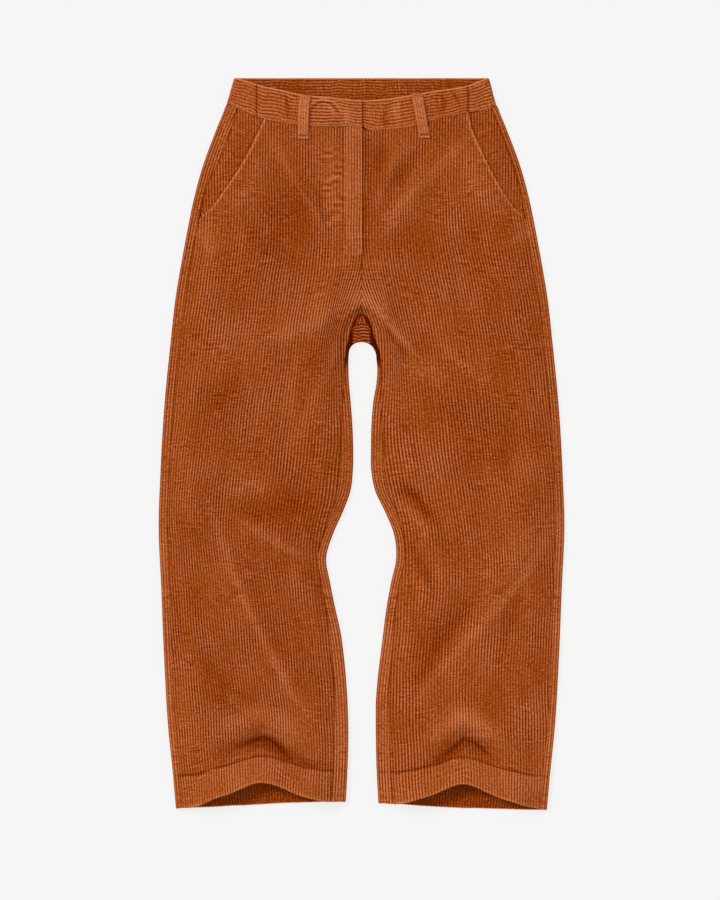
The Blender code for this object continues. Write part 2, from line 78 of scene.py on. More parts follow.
# thickness of the cloth: one layer, the turned-up hem, the lined waistband, a belt loop
CLOTH, HEM_CLOTH, BAND_CLOTH, LOOP_CLOTH = 1.6, 3.0, 2.8, 2.4
SEAM_GAP = 0.01  # between two panels at a seam
LAYER_GAP = 0.45  # between a panel and what lies on it
INNER_FACE_SHADE = -0.4  # painted shade on the panels' plain inner side, inside the garment
INNER_SHADE = 0.3  # painted shade: how much darker the smaller pieces are painted on their inner side
SEAM_ROUND, RAW_ROUND = 0.02, 0.5  # how far an edge bulges at a seam, and where it is hidden
BAND_ROUND = 1.3  # the same at the waistband's folded top edge
LAP_ROUND, POCKET_ROUND = 0.78, 0.8  # how much more it does at the fly lap's and the pockets' edges

# depth and width of a line that is pulled into the cloth, then depth and width of its shade
SEAM_DIP, SEAM_SHADE = (0.7, 1.2), (0.35, 0.9)
WAIST_DIP, WAIST_SHADE = (0.7, 1.4), (0.4, 1.2)
BAND_DIP, BAND_SHADE = (1.0, 1.4), (0.6, 0.9)

PANEL_TOP = 36.0  # the nominal row of the panels' top edges
POCKET_END = 190.0
CROTCH = 331.0  # down of the crotch point, where the inseams begin
CROTCH_ROW = 333.0  # the nominal row that starts at the crotch point
FAN = 7  # rows that turn to follow the crotch do so close to it
HEM_FOLD = 942.0  # the nominal row of the hems' stitching
HEM_RELIEF, HEM_SHADE, RIM_WEAR = 0.3, 0.5, 0.9  # inside a hem: its wales, their shade, and its rim
SCALLOP = (0.8, 1.1)  # how far the rim is rounded between the wales, and how much more on them
LEG_ROWS = [
    408, 436, 466, 498, 528, 556, 584, 614, 646, 680, 714,
    748, 782, 814, 842, 866, 888, 906, 924, 942, 964, 985,
]
TOP_FADE, HEM_FADE = 135.0, 185.0  # how far from their ends the rows follow the waist and the hem

FLY_END = 238.0
LAP_WIDTH = 24.0  # from the right front's edge to its stitching
LAP_UNDER = 4.5  # how far the left front goes on under the lap
LAP_RISE = CLOTH + LAYER_GAP
UNDERLAP = 38.0  # how far the left waistband goes on under the right one
UNDERLAP_RISE, UNDERLAP_SINK = 1.9, 1.5  # how far the right one is lifted, and the left one sinks
SHIELD_WIDTH = 46.0
FACING_TUCK = 12.0  # how far a pocket facing goes on under the front
FACING_INSET, FACING_SINK = 8.0, 1.5  # its end draws back from the seam, and lies lower
BAND_PROUD = 0.9  # how far the waistband stands off the panels

# down, half width of the outline, height of the loft, radius of the folded edge
SECTIONS = [
    (0, 172.5, 14.5, 4.6),
    (34, 182, 14, 4.6),
    (72, 197, 14, 3.6),
    (115, 213, 15, 3.4),
    (158, 225, 16, 3.4),
    (201, 234, 17, 3.4),
    (244, 242, 17.5, 3.4),
    (298, 251, 17.5, 3.4),
    (352, 257, 17, 3.4),
    (444, 266, 16, 3.4),
    (541, 271.5, 14.5, 3.4),
    (600, 273.5, 14, 3.4),
    (687, 270, 14, 3.4),
    (784, 266, 14, 3.4),
    (882, 260, 15, 3.8),
    (930, 255, 16, 4.6),
    (985, 250, 18, 4.6),
]

# down, inner edge of the right leg, inner edge of the left leg
INNER_EDGES = [
    (380, 18, 21), (396, 18, 22), (428, 15.5, 17), (460, 13, 14), (493, 11.5, 13), (541, 13, 15),
    (560, 16, 20), (582, 24.5, 31), (606, 34.5, 41), (630, 46, 48), (655, 47.5, 45.5),
    (687, 41, 38.5), (720, 34.5, 33), (752, 27.5, 29), (784, 23.5, 25), (833, 19.5, 20),
    (882, 18, 19.5), (930, 19, 20.5), (985, 22, 23.5),
]

# lower edge of the fork from the centre outwards: nominal row, x and down at the right, at the left
FORK_EDGE = [
    (333, 0, 355, 0, 355),
    (341, 4.5, 355.4, 4.5, 355.5),
    (349, 9, 357, 10, 357.5),
    (357, 13, 360, 15, 361.5),
    (365, 16, 364.5, 18.3, 367),
    (373, 17.3, 370, 20, 373),
    (382, 17.8, 377, 20.6, 380),
    (392, 18, 388, 21.6, 390),
]

# inseam across the crotch and down the inside of each leg, on the same rows
CROTCH_SEAM = [
    (333, 0, 331, 0, 331),
    (341, 5.5, 331.2, 5.5, 331.2),
    (349, 10.2, 333, 10.2, 333),
    (357, 13.2, 340, 13.6, 340),
    (365, 15.8, 349, 16.8, 349),
    (373, 18.6, 358, 20.8, 359),
    (382, 20.8, 368, 24.2, 370),
    (392, 22.2, 384, 26, 386),
]

# down, half width of the arch that the fronts make over the fork
ARCH = [(303, -16), (310, -8), (316, 0.5), (321, 6.5), (331, 12), (346, 16), (359, 18.2), (372, 18.5)]
ARCH_WALL = 6.5  # width of the step from the fork up to the fronts
ARCH_END, FORK_END = 366.0, 355.0  # down where the arch and the middle of the fork end
ARCH_BLEND = (364.0, 376.0)  # down over which the arch's edge becomes the leg's inner edge
FORK_BLEND = (360.0, 450.0)  # down over which the fork's steep slope becomes the leg's
FORK_SLOPE, FORK_REACH = 0.09, 60.0  # how the fork rises towards the waist, and how far up
FORK_DROP = 18.4  # how much lower the backs' centre seam ends on the floor than on top

# down, how far the side seam lies inside the outline, right and left
SIDE_SEAM = [
    (0, 15, 8), (40, 17, 8.5), (97, 21, 9), (118, 19, 9), (140, 14, 9), (190, 12.5, 10),
    (325, 14, 11), (470, 12.5, 11), (985, 9, 9),
]

# down, how far the inseam lies inside the inner edge
INSEAM = [
    (380, 4.4), (408, 6), (450, 12), (501, 16.5), (568, 17), (620, 11.5), (660, 11), (803, 16),
    (985, 20),
]

# down, half width at the slanted pocket edge, right and left
POCKET_EDGE = [
    (36, 130.3, 143.5), (64, 140.5, 149.2), (87, 149.2, 158.5), (126, 168.1, 175.5),
    (145, 180.2, 185.3), (166, 195.1, 199.1), (190, 214.6, 216.7),
]

# x, top edge and lower edge of the front waistband
BAND_EDGES = [
    (-182, 0, 34), (-171, 0.4, 38.5), (-133, 11.5, 54), (-113, 15.7, 58.5), (-80, 23, 63.5),
    (-42, 26.5, 65), (-1, 30.6, 66.8), (5, 30.6, 68.6), (30, 28.9, 69), (68, 23.5, 64.5),
    (93, 18.8, 57.5), (142, 11, 46), (173, 0.4, 40.5), (183, 0, 36.5),
]
BAND_FLOOR = 35.5  # its lower edge on the floor
BAND_WIDTH = 36.0
BAND_SEAM = {RIGHT: 141.0, LEFT: 144.0}  # how far from the middle the fronts' waistbands end
BAND_START = {RIGHT: 0.0, LEFT: -UNDERLAP}  # and x where they start
BAND_WALES = 9

# x, down of the hem's free edge at the front and where it lies on the floor
HEM_EDGES = [
    (-250, 983, 983), (-222, 979, 982), (-197, 968, 981), (-173, 960, 979.5), (-156, 952, 979),
    (-140, 947, 978), (-123, 948, 977), (-105, 954.5, 976), (-87, 962.5, 975.5), (-68, 968, 975),
    (-50, 972.5, 974.5), (-22, 974, 974), (22, 976, 976), (42, 976.5, 977), (61, 973.5, 978.5),
    (79, 968, 980), (97, 962.5, 981), (115, 954.5, 982), (128, 949.5, 982.5), (139, 948.5, 983),
    (152, 952, 983), (169, 960, 983.5), (188, 968, 984), (206, 973.5, 984.5), (223, 979, 985),
    (250, 985, 985),
]
HEM_LIFT, HEM_LIFT_REACH = 13.0, 30.0  # how the arched hems stand up, and how far up the leg

# how far from an edge the cloth reaches its full loft, the same in the fork, and where folds begin
EDGE_RAMP, FORK_RAMP, FOLD_FADE = 45.0, 15.0, 16.0


class Fold(NamedTuple):
    """A soft ridge, or a trough where rise is negative, along a line of (x, down) points."""

    rise: float
    width: float
    line: list


# The largest folds, which the solids have too.
MAIN_FOLDS = [
    Fold(2.5, 11, [(-118, 84), (-94, 110), (-66, 152)]),
    Fold(-2.5, 18, [(-150, 184), (-136, 212), (-119, 252)]),
    Fold(3, 11, [(106, 84), (60, 163), (19, 212)]),
    Fold(-2.5, 11, [(82, 92), (56, 126), (29, 163)]),
    Fold(2.5, 10, [(49, 98), (14, 160)]),
    Fold(3, 20, [(-22, 282), (-73, 323), (-104, 343), (-176, 343), (-204, 312)]),
    Fold(3, 10, [(9, 292), (34, 328), (73, 376)]),
    Fold(-2.5, 11, [(34, 300), (68, 342), (101, 386)]),
    Fold(2.5, 18, [(96, 333), (137, 376)]),
    Fold(-3, 11, [(-12, 296), (-32, 332), (-48, 392)]),
    Fold(2.5, 22, [(-246, 430), (-236, 500), (-222, 579)]),
    Fold(3.5, 14, [(-222, 579), (-171, 693), (-125, 770), (-83, 836), (-48, 885)]),
    Fold(-4, 14, [(-176, 578), (-112, 574), (-46, 563)]),
    Fold(3, 10, [(-160, 603), (-118, 622), (-83, 642)]),
    Fold(-2.5, 20, [(214, 421), (203, 498), (183, 566)]),
    Fold(2.5, 14, [(230, 508), (219, 556)]),
    Fold(-4, 12, [(38, 548), (75, 564), (101, 603)]),
    Fold(2.5, 12, [(60, 592), (111, 612)]),
    Fold(3.5, 16, [(245, 590), (209, 652), (178, 703), (132, 786)]),
    Fold(-3, 16, [(163, 678), (126, 729), (60, 816)]),
    Fold(-2, 14, [(94, 856), (132, 834), (165, 848)]),
    Fold(5, 12, [(-168, 874), (-134, 866), (-105, 886), (-72, 916)]),
    Fold(-7.5, 9, [(-194, 916), (-156, 898), (-134, 890), (-109, 900), (-90, 920), (-64, 926)]),
    Fold(4.5, 12, [(108, 880), (142, 862), (176, 886), (196, 912)]),
    Fold(-7.5, 9, [(92, 930), (111, 914), (140, 891), (165, 904), (182, 925)]),
]

# Smaller creases, puckers and dents, on the shells alone.
FINE_FOLDS = [
    Fold(-1.2, 5, [(-70, 98), (-58, 150), (-44, 196)]),
    Fold(-0.9, 4, [(-50, 88), (-47, 140), (-53, 200)]),
    Fold(0.9, 5, [(-36, 82), (-38, 130), (-34, 186)]),
    Fold(-1.3, 2.2, [(-54, 120), (-54.5, 150), (-53, 182), (-44.5, 206), (-26, 229), (-13.8, 235)]),
    Fold(0.6, 2.2, [(-49.5, 130), (-49.5, 180), (-41.5, 202), (-24.5, 224), (-13, 230.5)]),
    Fold(-1.0, 7, [(-134, 96), (-110, 140), (-92, 178)]),
    Fold(-1.1, 6, [(120, 90), (112, 128), (92, 168)]),
    Fold(-1.0, 6, [(30, 78), (26, 104), (12, 128)]),
    Fold(0.9, 8, [(150, 150), (130, 190), (118, 240)]),
    Fold(-0.8, 8, [(176, 180), (160, 226), (150, 280)]),
    Fold(-1.0, 9, [(-200, 230), (-170, 262), (-120, 280)]),
    Fold(0.8, 9, [(-196, 262), (-160, 292), (-110, 300)]),
    Fold(-1.1, 6, [(-24, 312), (-58, 352), (-84, 372)]),
    Fold(0.9, 6, [(-26, 330), (-50, 368), (-62, 400)]),
    Fold(-1.2, 6, [(24, 318), (50, 362), (62, 404)]),
    Fold(1.0, 7, [(46, 382), (74, 400), (110, 404)]),
    Fold(-1.0, 10, [(120, 400), (160, 420), (200, 418)]),
    Fold(0.8, 10, [(80, 450), (70, 500), (50, 540)]),
    Fold(-0.9, 9, [(-120, 420), (-100, 480), (-110, 530)]),
    Fold(0.9, 9, [(-60, 430), (-44, 490), (-40, 530)]),
    Fold(-1.3, 6, [(-74, 590), (-56, 600), (-50, 614)]),
    Fold(1.2, 6, [(-120, 588), (-84, 600), (-64, 622)]),
    Fold(-1.3, 7, [(-205, 640), (-160, 716), (-118, 780), (-90, 820)]),
    Fold(-1.0, 8, [(-120, 660), (-92, 716), (-70, 770)]),
    Fold(1.0, 8, [(-90, 650), (-66, 700), (-52, 750)]),
    Fold(-1.1, 7, [(-238, 640), (-214, 740), (-190, 810)]),
    Fold(-1.4, 6, [(60, 626), (84, 650), (96, 690)]),
    Fold(1.1, 7, [(96, 640), (84, 700), (64, 752)]),
    Fold(-1.2, 8, [(232, 640), (206, 716), (168, 790), (130, 836)]),
    Fold(1.0, 9, [(238, 700), (222, 770), (190, 840)]),
    Fold(-0.9, 8, [(-230, 860), (-222, 890), (-226, 918)]),
    Fold(-1.0, 6, [(-60, 852), (-46, 890), (-44, 930)]),
    Fold(-0.9, 7, [(220, 850), (228, 886), (224, 920)]),
    Fold(1.0, 6, [(48, 870), (60, 900), (56, 930)]),
    Fold(-2.2, 2.6, [(-170, 901), (-146, 893), (-134, 889), (-120, 893), (-108, 903), (-94, 917)]),
    Fold(-2.0, 2.6, [(104, 921), (120, 906), (138, 891), (152, 895), (166, 906), (178, 918)]),
    Fold(0.9, 3, [(186, 212), (204, 206), (220, 197)]),
    Fold(0.8, 3, [(-202, 168), (-188, 178)]),
    Fold(1.1, 4, [(196, 226), (214, 214), (230, 196)]),
    Fold(0.8, 5, [(-214, 220), (-200, 232), (-182, 236)]),
]

# Creases on the waistband alone.
BAND_FOLDS = [
    Fold(1.3, 1.2, [(-73, 46), (-70, 38), (-64, 31.5), (-53, 28.6), (-40.5, 31), (-31.7, 37), (-27, 46)]),
    Fold(-1.2, 1.2, [(-70, 48), (-66, 40), (-60, 34.5), (-53, 32), (-43, 34), (-35.5, 40), (-31, 48)]),
    Fold(0.6, 3, [(-66, 34), (-48, 33), (-38, 42), (-36, 56)]),
    Fold(-0.6, 2.5, [(-104, 20), (-98, 40), (-100, 58)]),
    Fold(-0.7, 2.5, [(34, 36), (30, 52), (34, 66)]),
    Fold(0.6, 4, [(52, 30), (46, 46), (52, 62)]),
    Fold(-0.6, 3, [(104, 18), (112, 32), (108, 50)]),
    Fold(0.5, 4, [(-22, 34), (-18, 50), (-22, 64)]),
    Fold(-0.6, 2, [(118, 12), (128, 28), (136, 42)]),
]

FLOOR_FADE = 14.0  # how far from the cloth's edges the creases underneath begin

# Creases underneath, where the cloth stands clear of the floor.
FLOOR_FOLDS = [
    Fold(1.4, 9, [(-190, 120), (-120, 150), (-50, 138)]),
    Fold(1.1, 7, [(-150, 240), (-90, 262), (-30, 250)]),
    Fold(1.3, 8, [(60, 150), (120, 128), (186, 140)]),
    Fold(1.2, 8, [(40, 290), (100, 316), (190, 300)]),
    Fold(1.4, 9, [(-210, 400), (-150, 440), (-70, 430)]),
    Fold(1.2, 8, [(-180, 560), (-110, 590), (-60, 640)]),
    Fold(1.3, 9, [(-220, 700), (-150, 760), (-80, 850)]),
    Fold(1.1, 7, [(-190, 860), (-120, 880), (-70, 860)]),
    Fold(1.3, 9, [(70, 420), (140, 452), (220, 440)]),
    Fold(1.4, 9, [(60, 600), (130, 588), (200, 620)]),
    Fold(1.2, 8, [(210, 700), (150, 770), (70, 830)]),
    Fold(1.1, 8, [(70, 880), (140, 900), (200, 880)]),
]

# Lines painted lighter, partly where the pile is worn and partly as a highlight along a fold ridge, and,
# where rise is negative, painted darker as shade in a trough or crease. Rise is a share of the wear and
# painted light and shade.
WEAR_AND_SHADE_LINES = [
    Fold(0.35, 6, [(-209, 564), (-178, 653), (-150, 722), (-92, 834), (-49, 875)]),
    Fold(0.3, 5, [(-123, 82), (-88, 140), (-52, 200)]),
    Fold(0.32, 8, [(156, 69), (110, 112), (66, 159), (12, 231)]),
    Fold(0.3, 7, [(48, 100), (16, 181)]),
    Fold(0.2, 4, [(-65, 250), (-5, 249), (48, 251)]),
    Fold(0.28, 20, [(-44, 66), (-42, 130), (-36, 214)]),
    Fold(0.25, 10, [(-222, 196), (-206, 226), (-190, 236)]),
    Fold(0.3, 8, [(196, 226), (214, 214), (230, 196)]),
    Fold(0.25, 9, [(-16, 298), (-60, 330), (-96, 345), (-150, 350)]),
    Fold(0.38, 5, [(7, 294), (40, 335), (75, 375)]),
    Fold(0.25, 14, [(62, 380), (100, 400), (110, 420)]),
    Fold(0.22, 9, [(-178, 560), (-150, 550), (-122, 556)]),
    Fold(0.3, 4, [(-177, 586), (-106, 632), (-69, 645)]),
    Fold(0.25, 6, [(46, 570), (70, 588), (92, 622)]),
    Fold(0.32, 7, [(262, 590), (218, 672), (164, 734), (102, 802), (66, 852)]),
    Fold(0.15, 30, [(176, 760), (130, 820), (96, 866)]),
    Fold(0.3, 12, [(-196, 884), (-160, 860), (-132, 850), (-104, 866), (-64, 902)]),
    Fold(0.25, 10, [(66, 910), (104, 880), (140, 856), (180, 880), (200, 906)]),
    Fold(0.12, 26, [(-238, 760), (-232, 900)]),
    Fold(0.12, 26, [(232, 760), (230, 900)]),
    Fold(0.15, 16, [(-120, 90), (-150, 140), (-190, 186)]),
    Fold(0.15, 16, [(130, 100), (160, 150), (196, 190)]),
    Fold(0.15, 9, [(-84, 366), (-100, 420), (-92, 470)]),
    Fold(0.15, 7, [(-122, 520), (-80, 470), (-56, 400)]),
    Fold(0.15, 9, [(190, 470), (168, 520), (170, 560)]),
    Fold(0.2, 6, [(100, 350), (150, 400), (186, 414)]),
    Fold(0.15, 10, [(40, 690), (60, 740), (52, 800)]),
    Fold(-0.14, 36, [(-78, 110), (-92, 190), (-96, 280)]),
    Fold(-0.2, 12, [(-130, 150), (-116, 200), (-120, 260)]),
    Fold(-0.28, 14, [(22, 84), (28, 130), (20, 160)]),
    Fold(-0.15, 30, [(36, 200), (84, 226), (112, 290)]),
    Fold(-0.2, 9, [(90, 84), (64, 118), (40, 150)]),
    Fold(-0.35, 4, [(26, 328), (48, 356), (64, 378)]),
    Fold(-0.2, 7, [(-30, 330), (-60, 372), (-62, 410)]),
    Fold(-0.15, 40, [(96, 440), (150, 480), (160, 540)]),
    Fold(-0.12, 36, [(-200, 400), (-170, 520)]),
    Fold(-0.25, 12, [(-166, 590), (-110, 586), (-56, 572)]),
    Fold(-0.15, 14, [(-120, 612), (-80, 606), (-62, 590)]),
    Fold(-0.4, 6, [(48, 545), (76, 568), (102, 604)]),
    Fold(-0.2, 9, [(160, 690), (120, 742), (84, 800), (60, 820)]),
    Fold(-0.13, 24, [(-176, 660), (-130, 740), (-92, 800)]),
    Fold(-0.2, 7, [(-222, 770), (-180, 820), (-130, 850)]),
    Fold(-0.2, 6, [(-214, 820), (-176, 850), (-140, 868)]),
    Fold(-0.25, 9, [(66, 640), (88, 664), (96, 700)]),
    Fold(-0.2, 7, [(216, 700), (190, 760), (180, 820)]),
    Fold(-0.85, 2.4, [(-170, 901), (-146, 893), (-134, 889), (-120, 893), (-108, 903), (-94, 917)]),
    Fold(-0.7, 2.4, [(104, 921), (120, 906), (138, 891), (152, 895), (166, 906), (178, 918)]),
    Fold(0.3, 4, [(-166, 892), (-146, 885), (-134, 881), (-118, 884), (-104, 895), (-90, 908)]),
    Fold(0.3, 4, [(108, 910), (120, 899), (138, 883), (154, 887), (170, 899)]),
    Fold(-0.25, 5, [(-160, 905), (-134, 897), (-116, 903), (-100, 918)]),
    Fold(-0.2, 5, [(114, 918), (138, 899), (160, 910)]),
    Fold(-0.3, 5, [(-94, 917), (-76, 925), (-40, 926)]),
]

WALE_SPAN = 236.0  # how far from the middle the outermost wale starts

# How far a wale has moved outwards by each row: on the right in the middle of the garment, half way
# and at the outline, and the same on the left.
WALE_DRIFT = [
    (0, 0, 0, 0, 0, 0, 0),
    (163, 0, 0, 0, 0, 0, 2),
    (197, 0, 0, 2, 0, 2, 7),
    (231, 0, 1.5, 5, 0.5, 6, 14),
    (264, 2.5, 6, 11, 3, 12, 20),
    (298, 8, 11, 16, 9, 19, 26),
    (332, 14, 16, 20, 16, 24.5, 31),
    (366, 18, 20.5, 23, 21.5, 30, 36),
    (400, 20, 24.5, 26, 24, 34, 40),
    (433, 22, 29, 29, 25.5, 38, 44),
    (501, 26, 38, 35, 29, 46, 51),
    (568, 33, 47, 38, 41, 55, 55),
    (602, 42, 49.5, 38.5, 50, 58, 56.5),
    (636, 48, 48, 37, 54, 60, 57.5),
    (670, 46, 44.5, 35, 52.5, 61.5, 58),
    (737, 40, 38, 31.5, 50, 58.5, 58),
    (805, 34, 31.5, 26, 46, 55, 57.5),
    (872, 29, 26, 20, 45, 56, 57),
    (940, 28, 24, 15, 49, 57, 56.5),
    (985, 30, 24, 10, 52, 57, 56),
]

# The wales next to the middle fan out further above the crotch: row, how far.
WALE_FAN = [
    (225, 0), (250, 1), (264, 2.5), (285, 5.5), (298, 8),
    (312, 10.5), (331, 12), (372, 11), (440, 5), (500, 0),
]
WALE_FAN_REACH = 22.0  # how far from the middle they do

# x and down of the fly lap's topstitch
FLY_STITCH = [
    (-24.2, 68), (-24.2, 120), (-24, 180), (-23.6, 205),
    (-21.5, 219), (-16, 229), (-8, 235.5), (-1.5, 238),
]
TACK_LIFT = {0.06: 3.6, 0.92: 3.5, 0.945: 3.5}  # along a belt loop, how high its tacks lie
TACK_SPACING = 0.0012  # metres from stitch to stitch in a tack
STITCH_PITCH = 1.3  # the same elsewhere, in stitch lengths
STITCH_SINK = 0.45  # how deep the fly's stitching pulls the cloth in
STITCH_SEED = 5

# x at the top, x at the lower end, down at the top and at the lower end
LOOPS = {RIGHT: (-78.5, -78.5, 24, 81), LEFT: (75, 85, 21.6, 80)}
LOOP_WIDTH = 14.0
LOOP_BOW = 1.7  # how far its middle stands off the band
LOOP_CURL = {RIGHT: 3.0, LEFT: 0.0}  # how far its top leans over
LOOP_WALES = 4

# rows of points: a row, the spacing after it, the next row, and so on
FRONT_ROWS = (36, 0.8, 37.6, 2.2, 42, 5, 285, 3, 325, 2, 395, 5, 934, 2.7, 940, 1, 944, 3, 984, 1, 985)
BACK_ROWS = (36, 2, 40, 7, 320, 3, CROTCH_ROW)
FORK_ROWS = (CROTCH_ROW, 1, 341, 2, 395, 6, 936, 2, 940, 1, 944, 3, 984, 1, 985)
FACING_ROWS = (36, 1, 38, 3, POCKET_END, 3, POCKET_END + 15)
SHIELD_ROWS = (36, 1, 38, 4, FLY_END + 4)

# the wales that a panel's columns of points run over, past its edges
FRONT_WALES, BACK_WALES, FLOOR_WALES = (-8, 66), (-10, 3), (3, 70)
SAMPLES = 6  # columns of points in each wale
FLOOR_SAMPLES = 4  # the same where it lies on the floor
EDGE_TURN = np.linspace(0, math.pi, 6)  # steps round a cut or folded edge
SLOPE_STEP = 0.8  # how far apart heights are read to find a slope
WELD = 0.0073  # points closer than this are one

MATT = {"Metallic": 0.0, "Specular_IOR_Level": 0.0}
DEEPEST_SHADE = (0.01, 0.0, 0.0, 1)  # painted shade: colour of the cloth's darkest corners
INSIDE_SHADE = 0.72  # painted shade: how much darker the cloth inside the garment is painted

CAMERA_HEIGHT = 6.0
CAMERA_AIM = (-0.002025, -0.00835)
VIEW_HEIGHT = 1.215
FLOOR_HALF, FLOOR_LEVEL = 12.0, -0.0003
FLOOR_GLOW = 6.63
SKY = 0.55
# name, direction in which the light travels, strength, apparent size in degrees
LIGHTS = [
    ("Key light", (0.75, -0.6, -1.0), 1.9, 16),
    ("Fill light", (-0.8, 0.3, -1.0), 0.3, 60),
]


def smooth(value):
    """Eases from 0 to 1 as value goes from 0 to 1."""
    value = np.clip(value, 0, 1)
    return value * value * (3 - 2 * value)


def ramp(value, start, end):
    """Eases from 0 at start to 1 at end, whichever of the two is larger."""
    return smooth((value - start) / (end - start))


def spot(x, down, middle_x, middle_down, width, length):
    """1 in the middle of a soft oval and 0 away from it."""
    return np.exp(-(((x - middle_x) / width) ** 2) - ((down - middle_down) / length) ** 2)


def curve(rows, column, at):
    """One column of a table read along its first column, on a smooth curve through its rows."""
    table = np.array(rows, float)
    x, y = table[:, 0], table[:, column]
    slope = np.gradient(y, x)
    at = np.clip(at, x[0], x[-1])
    k = np.clip(np.searchsorted(x, at) - 1, 0, len(x) - 2)
    width = x[k + 1] - x[k]
    t = (at - x[k]) / width
    start = (1 + 2 * t) * (1 - t) ** 2 * y[k] + t * (1 - t) ** 2 * slope[k] * width
    return start + t * t * (3 - 2 * t) * y[k + 1] + t * t * (t - 1) * slope[k + 1] * width


def of_side(side):
    """The column for a side, in a table that has one for each."""
    return 1 if side == RIGHT else 2


def inner_edge(side, down):
    return curve(INNER_EDGES, of_side(side), down)


def from_line(x, down, line):
    """The distance to a line of points, and how far along it the nearest place is, from 0 to 1."""
    points = np.array(line, float)
    lengths = np.hypot(*np.diff(points, axis=0).T)
    before = np.concatenate(([0], np.cumsum(lengths)))
    best, along = np.full(np.shape(x), 1e9), np.zeros(np.shape(x))
    for start, end, length, offset in zip(points, points[1:], lengths, before):
        step = (end - start) / length
        t = np.clip((x - start[0]) * step[0] + (down - start[1]) * step[1], 0, length)
        off = np.hypot(x - start[0] - t * step[0], down - start[1] - t * step[1])
        nearer = off < best
        best, along = np.where(nearer, off, best), np.where(nearer, (offset + t) / before[-1], along)
    return best, along


def tally(lines, x, down):
    """The sum of a table of folds at places."""
    x, down = np.broadcast_arrays(np.asarray(x, float), np.asarray(down, float))
    total = np.zeros(x.shape)
    for fold in lines:
        line = np.array(fold.line)
        low, high = line.min(axis=0) - 3 * fold.width, line.max(axis=0) + 3 * fold.width
        near = (x > low[0]) & (x < high[0]) & (down > low[1]) & (down < high[1])
        off, along = from_line(x[near], down[near], fold.line)
        ends = smooth(along / 0.3) * smooth((1 - along) / 0.3)
        total[near] += fold.rise * np.exp(-((off / fold.width) ** 2)) * (0.25 + 0.75 * ends)
    return total


def folds(x, down):
    """How far the folds raise the cloth."""
    ripple = np.sin(x / 19 + 2 * np.sin(down / 57)) * np.sin(down / 31 + 1.7 * np.sin(x / 43))
    return tally(MAIN_FOLDS + FINE_FOLDS, x, down) + 0.35 * ripple


def worn_and_shaded(x, down):
    """Wear and painted light and shade over the top of the garment: lines of worn pile, painted highlight
    and painted shade, and fold ridges painted lighter with their troughs painted darker.
    """
    return tally(WEAR_AND_SHADE_LINES, x, down) + 0.03 * folds(x, down)


def height(x, down):
    """The outer face of the cloth that lies on top, above the floor."""
    x, down = np.broadcast_arrays(np.asarray(x, float), np.asarray(down, float))
    across = np.abs(x)
    outline, loft, radius = (curve(SECTIONS, column, down) for column in (1, 2, 3))
    from_side = outline - across
    inner = np.where(x < 0, inner_edge(RIGHT, down), inner_edge(LEFT, down))
    arch = curve(ARCH, 1, down)
    edge = np.where(down < ARCH_BLEND[1], arch + (inner - arch) * ramp(down, *ARCH_BLEND), inner)
    from_inner = across - edge
    inner_ramp = FORK_RAMP + (EDGE_RAMP - FORK_RAMP) * ramp(down, *FORK_BLEND)
    side_share = smooth((from_side - radius) / EDGE_RAMP)
    inner_share = smooth((from_inner - 2) / inner_ramp)
    rise = folds(x, down) * smooth((from_side - radius) / FOLD_FADE)
    rise = rise * smooth((from_inner - radius) / FOLD_FADE)
    hem = curve(HEM_EDGES, 1, x)
    rise = rise + HEM_LIFT * side_share * inner_share * np.exp(-(((hem - down) / HEM_LIFT_REACH) ** 2))
    top = 2 * radius + (loft - 2 * radius) * side_share * inner_share + rise
    fork = 2 * radius + FORK_SLOPE * np.clip(FORK_END - down, 0, FORK_REACH)
    wall = smooth((from_inner + 3) / ARCH_WALL)
    return np.where(down < ARCH_END, fork + (top - fork) * wall, top)


def lapped(x, down):
    """The height of the right front, which the fly's lap lifts towards its edge."""
    share = smooth((x + LAP_WIDTH + 6) / (LAP_WIDTH - 4))
    return height(x, down) + LAP_RISE * share * ramp(down, FLY_END + 28, FLY_END + 4)


def down_at(row, x, on_top):
    """The place below the top edge of a nominal row: it follows the waistband at one end and the hem
    at the other. on_top is 1 on the upper cloth and 0 on the floor."""
    band = on_top * curve(BAND_EDGES, 2, x) + (1 - on_top) * BAND_FLOOR + SEAM_GAP / 2
    hem = on_top * curve(HEM_EDGES, 1, x) + (1 - on_top) * curve(HEM_EDGES, 2, x)
    near_top = np.clip((PANEL_TOP + TOP_FADE - row) / TOP_FADE, 0, 1)
    near_hem = np.clip((row - LENGTH + HEM_FADE) / HEM_FADE, 0, 1)
    return row + (band - PANEL_TOP) * near_top + (hem - LENGTH) * near_hem


def settle(row, x_at, on_top):
    """x and down of a boundary at nominal rows, where x_at gives its x from down."""
    down = row
    for _ in range(4):
        x = x_at(down)
        down = down_at(row, x, on_top)
    return x, down


def side_seam(side, row):
    inset = curve(SIDE_SEAM, of_side(side), row)
    return settle(row, lambda down: side * (curve(SECTIONS, 1, down) - inset), 1)


def outline(side, row):
    return settle(row, lambda down: side * curve(SECTIONS, 1, down), 0.5)


def leg_table(crotch, side, place):
    """A table of row, x and down for one side: a crotch table's rows, then places down the leg."""
    x, down = (1, 2) if side == RIGHT else (3, 4)
    start = [(line[0], side * line[x], line[down]) for line in crotch]
    return start + [(row, *(float(value) for value in place(row))) for row in LEG_ROWS]


def sideways(line, side):
    """Unit vectors across a line that runs down, pointing away from the garment's middle."""
    along = np.gradient(line, axis=0)
    along /= np.linalg.norm(along, axis=1)[:, None]
    return np.column_stack((along[:, 1], -along[:, 0])) * side


def seam_line(side, rows, gap):
    """The inseam from the crotch point to the hem, moved by gap towards the front's side."""

    def place(row):
        inset = curve(INSEAM, 1, row)
        return settle(row, lambda down: side * (inner_edge(side, down) + inset), 1)

    table = leg_table(CROTCH_SEAM, side, place)
    line = np.column_stack((curve(table, 1, rows), curve(table, 2, rows)))
    return line + sideways(line, side) * gap


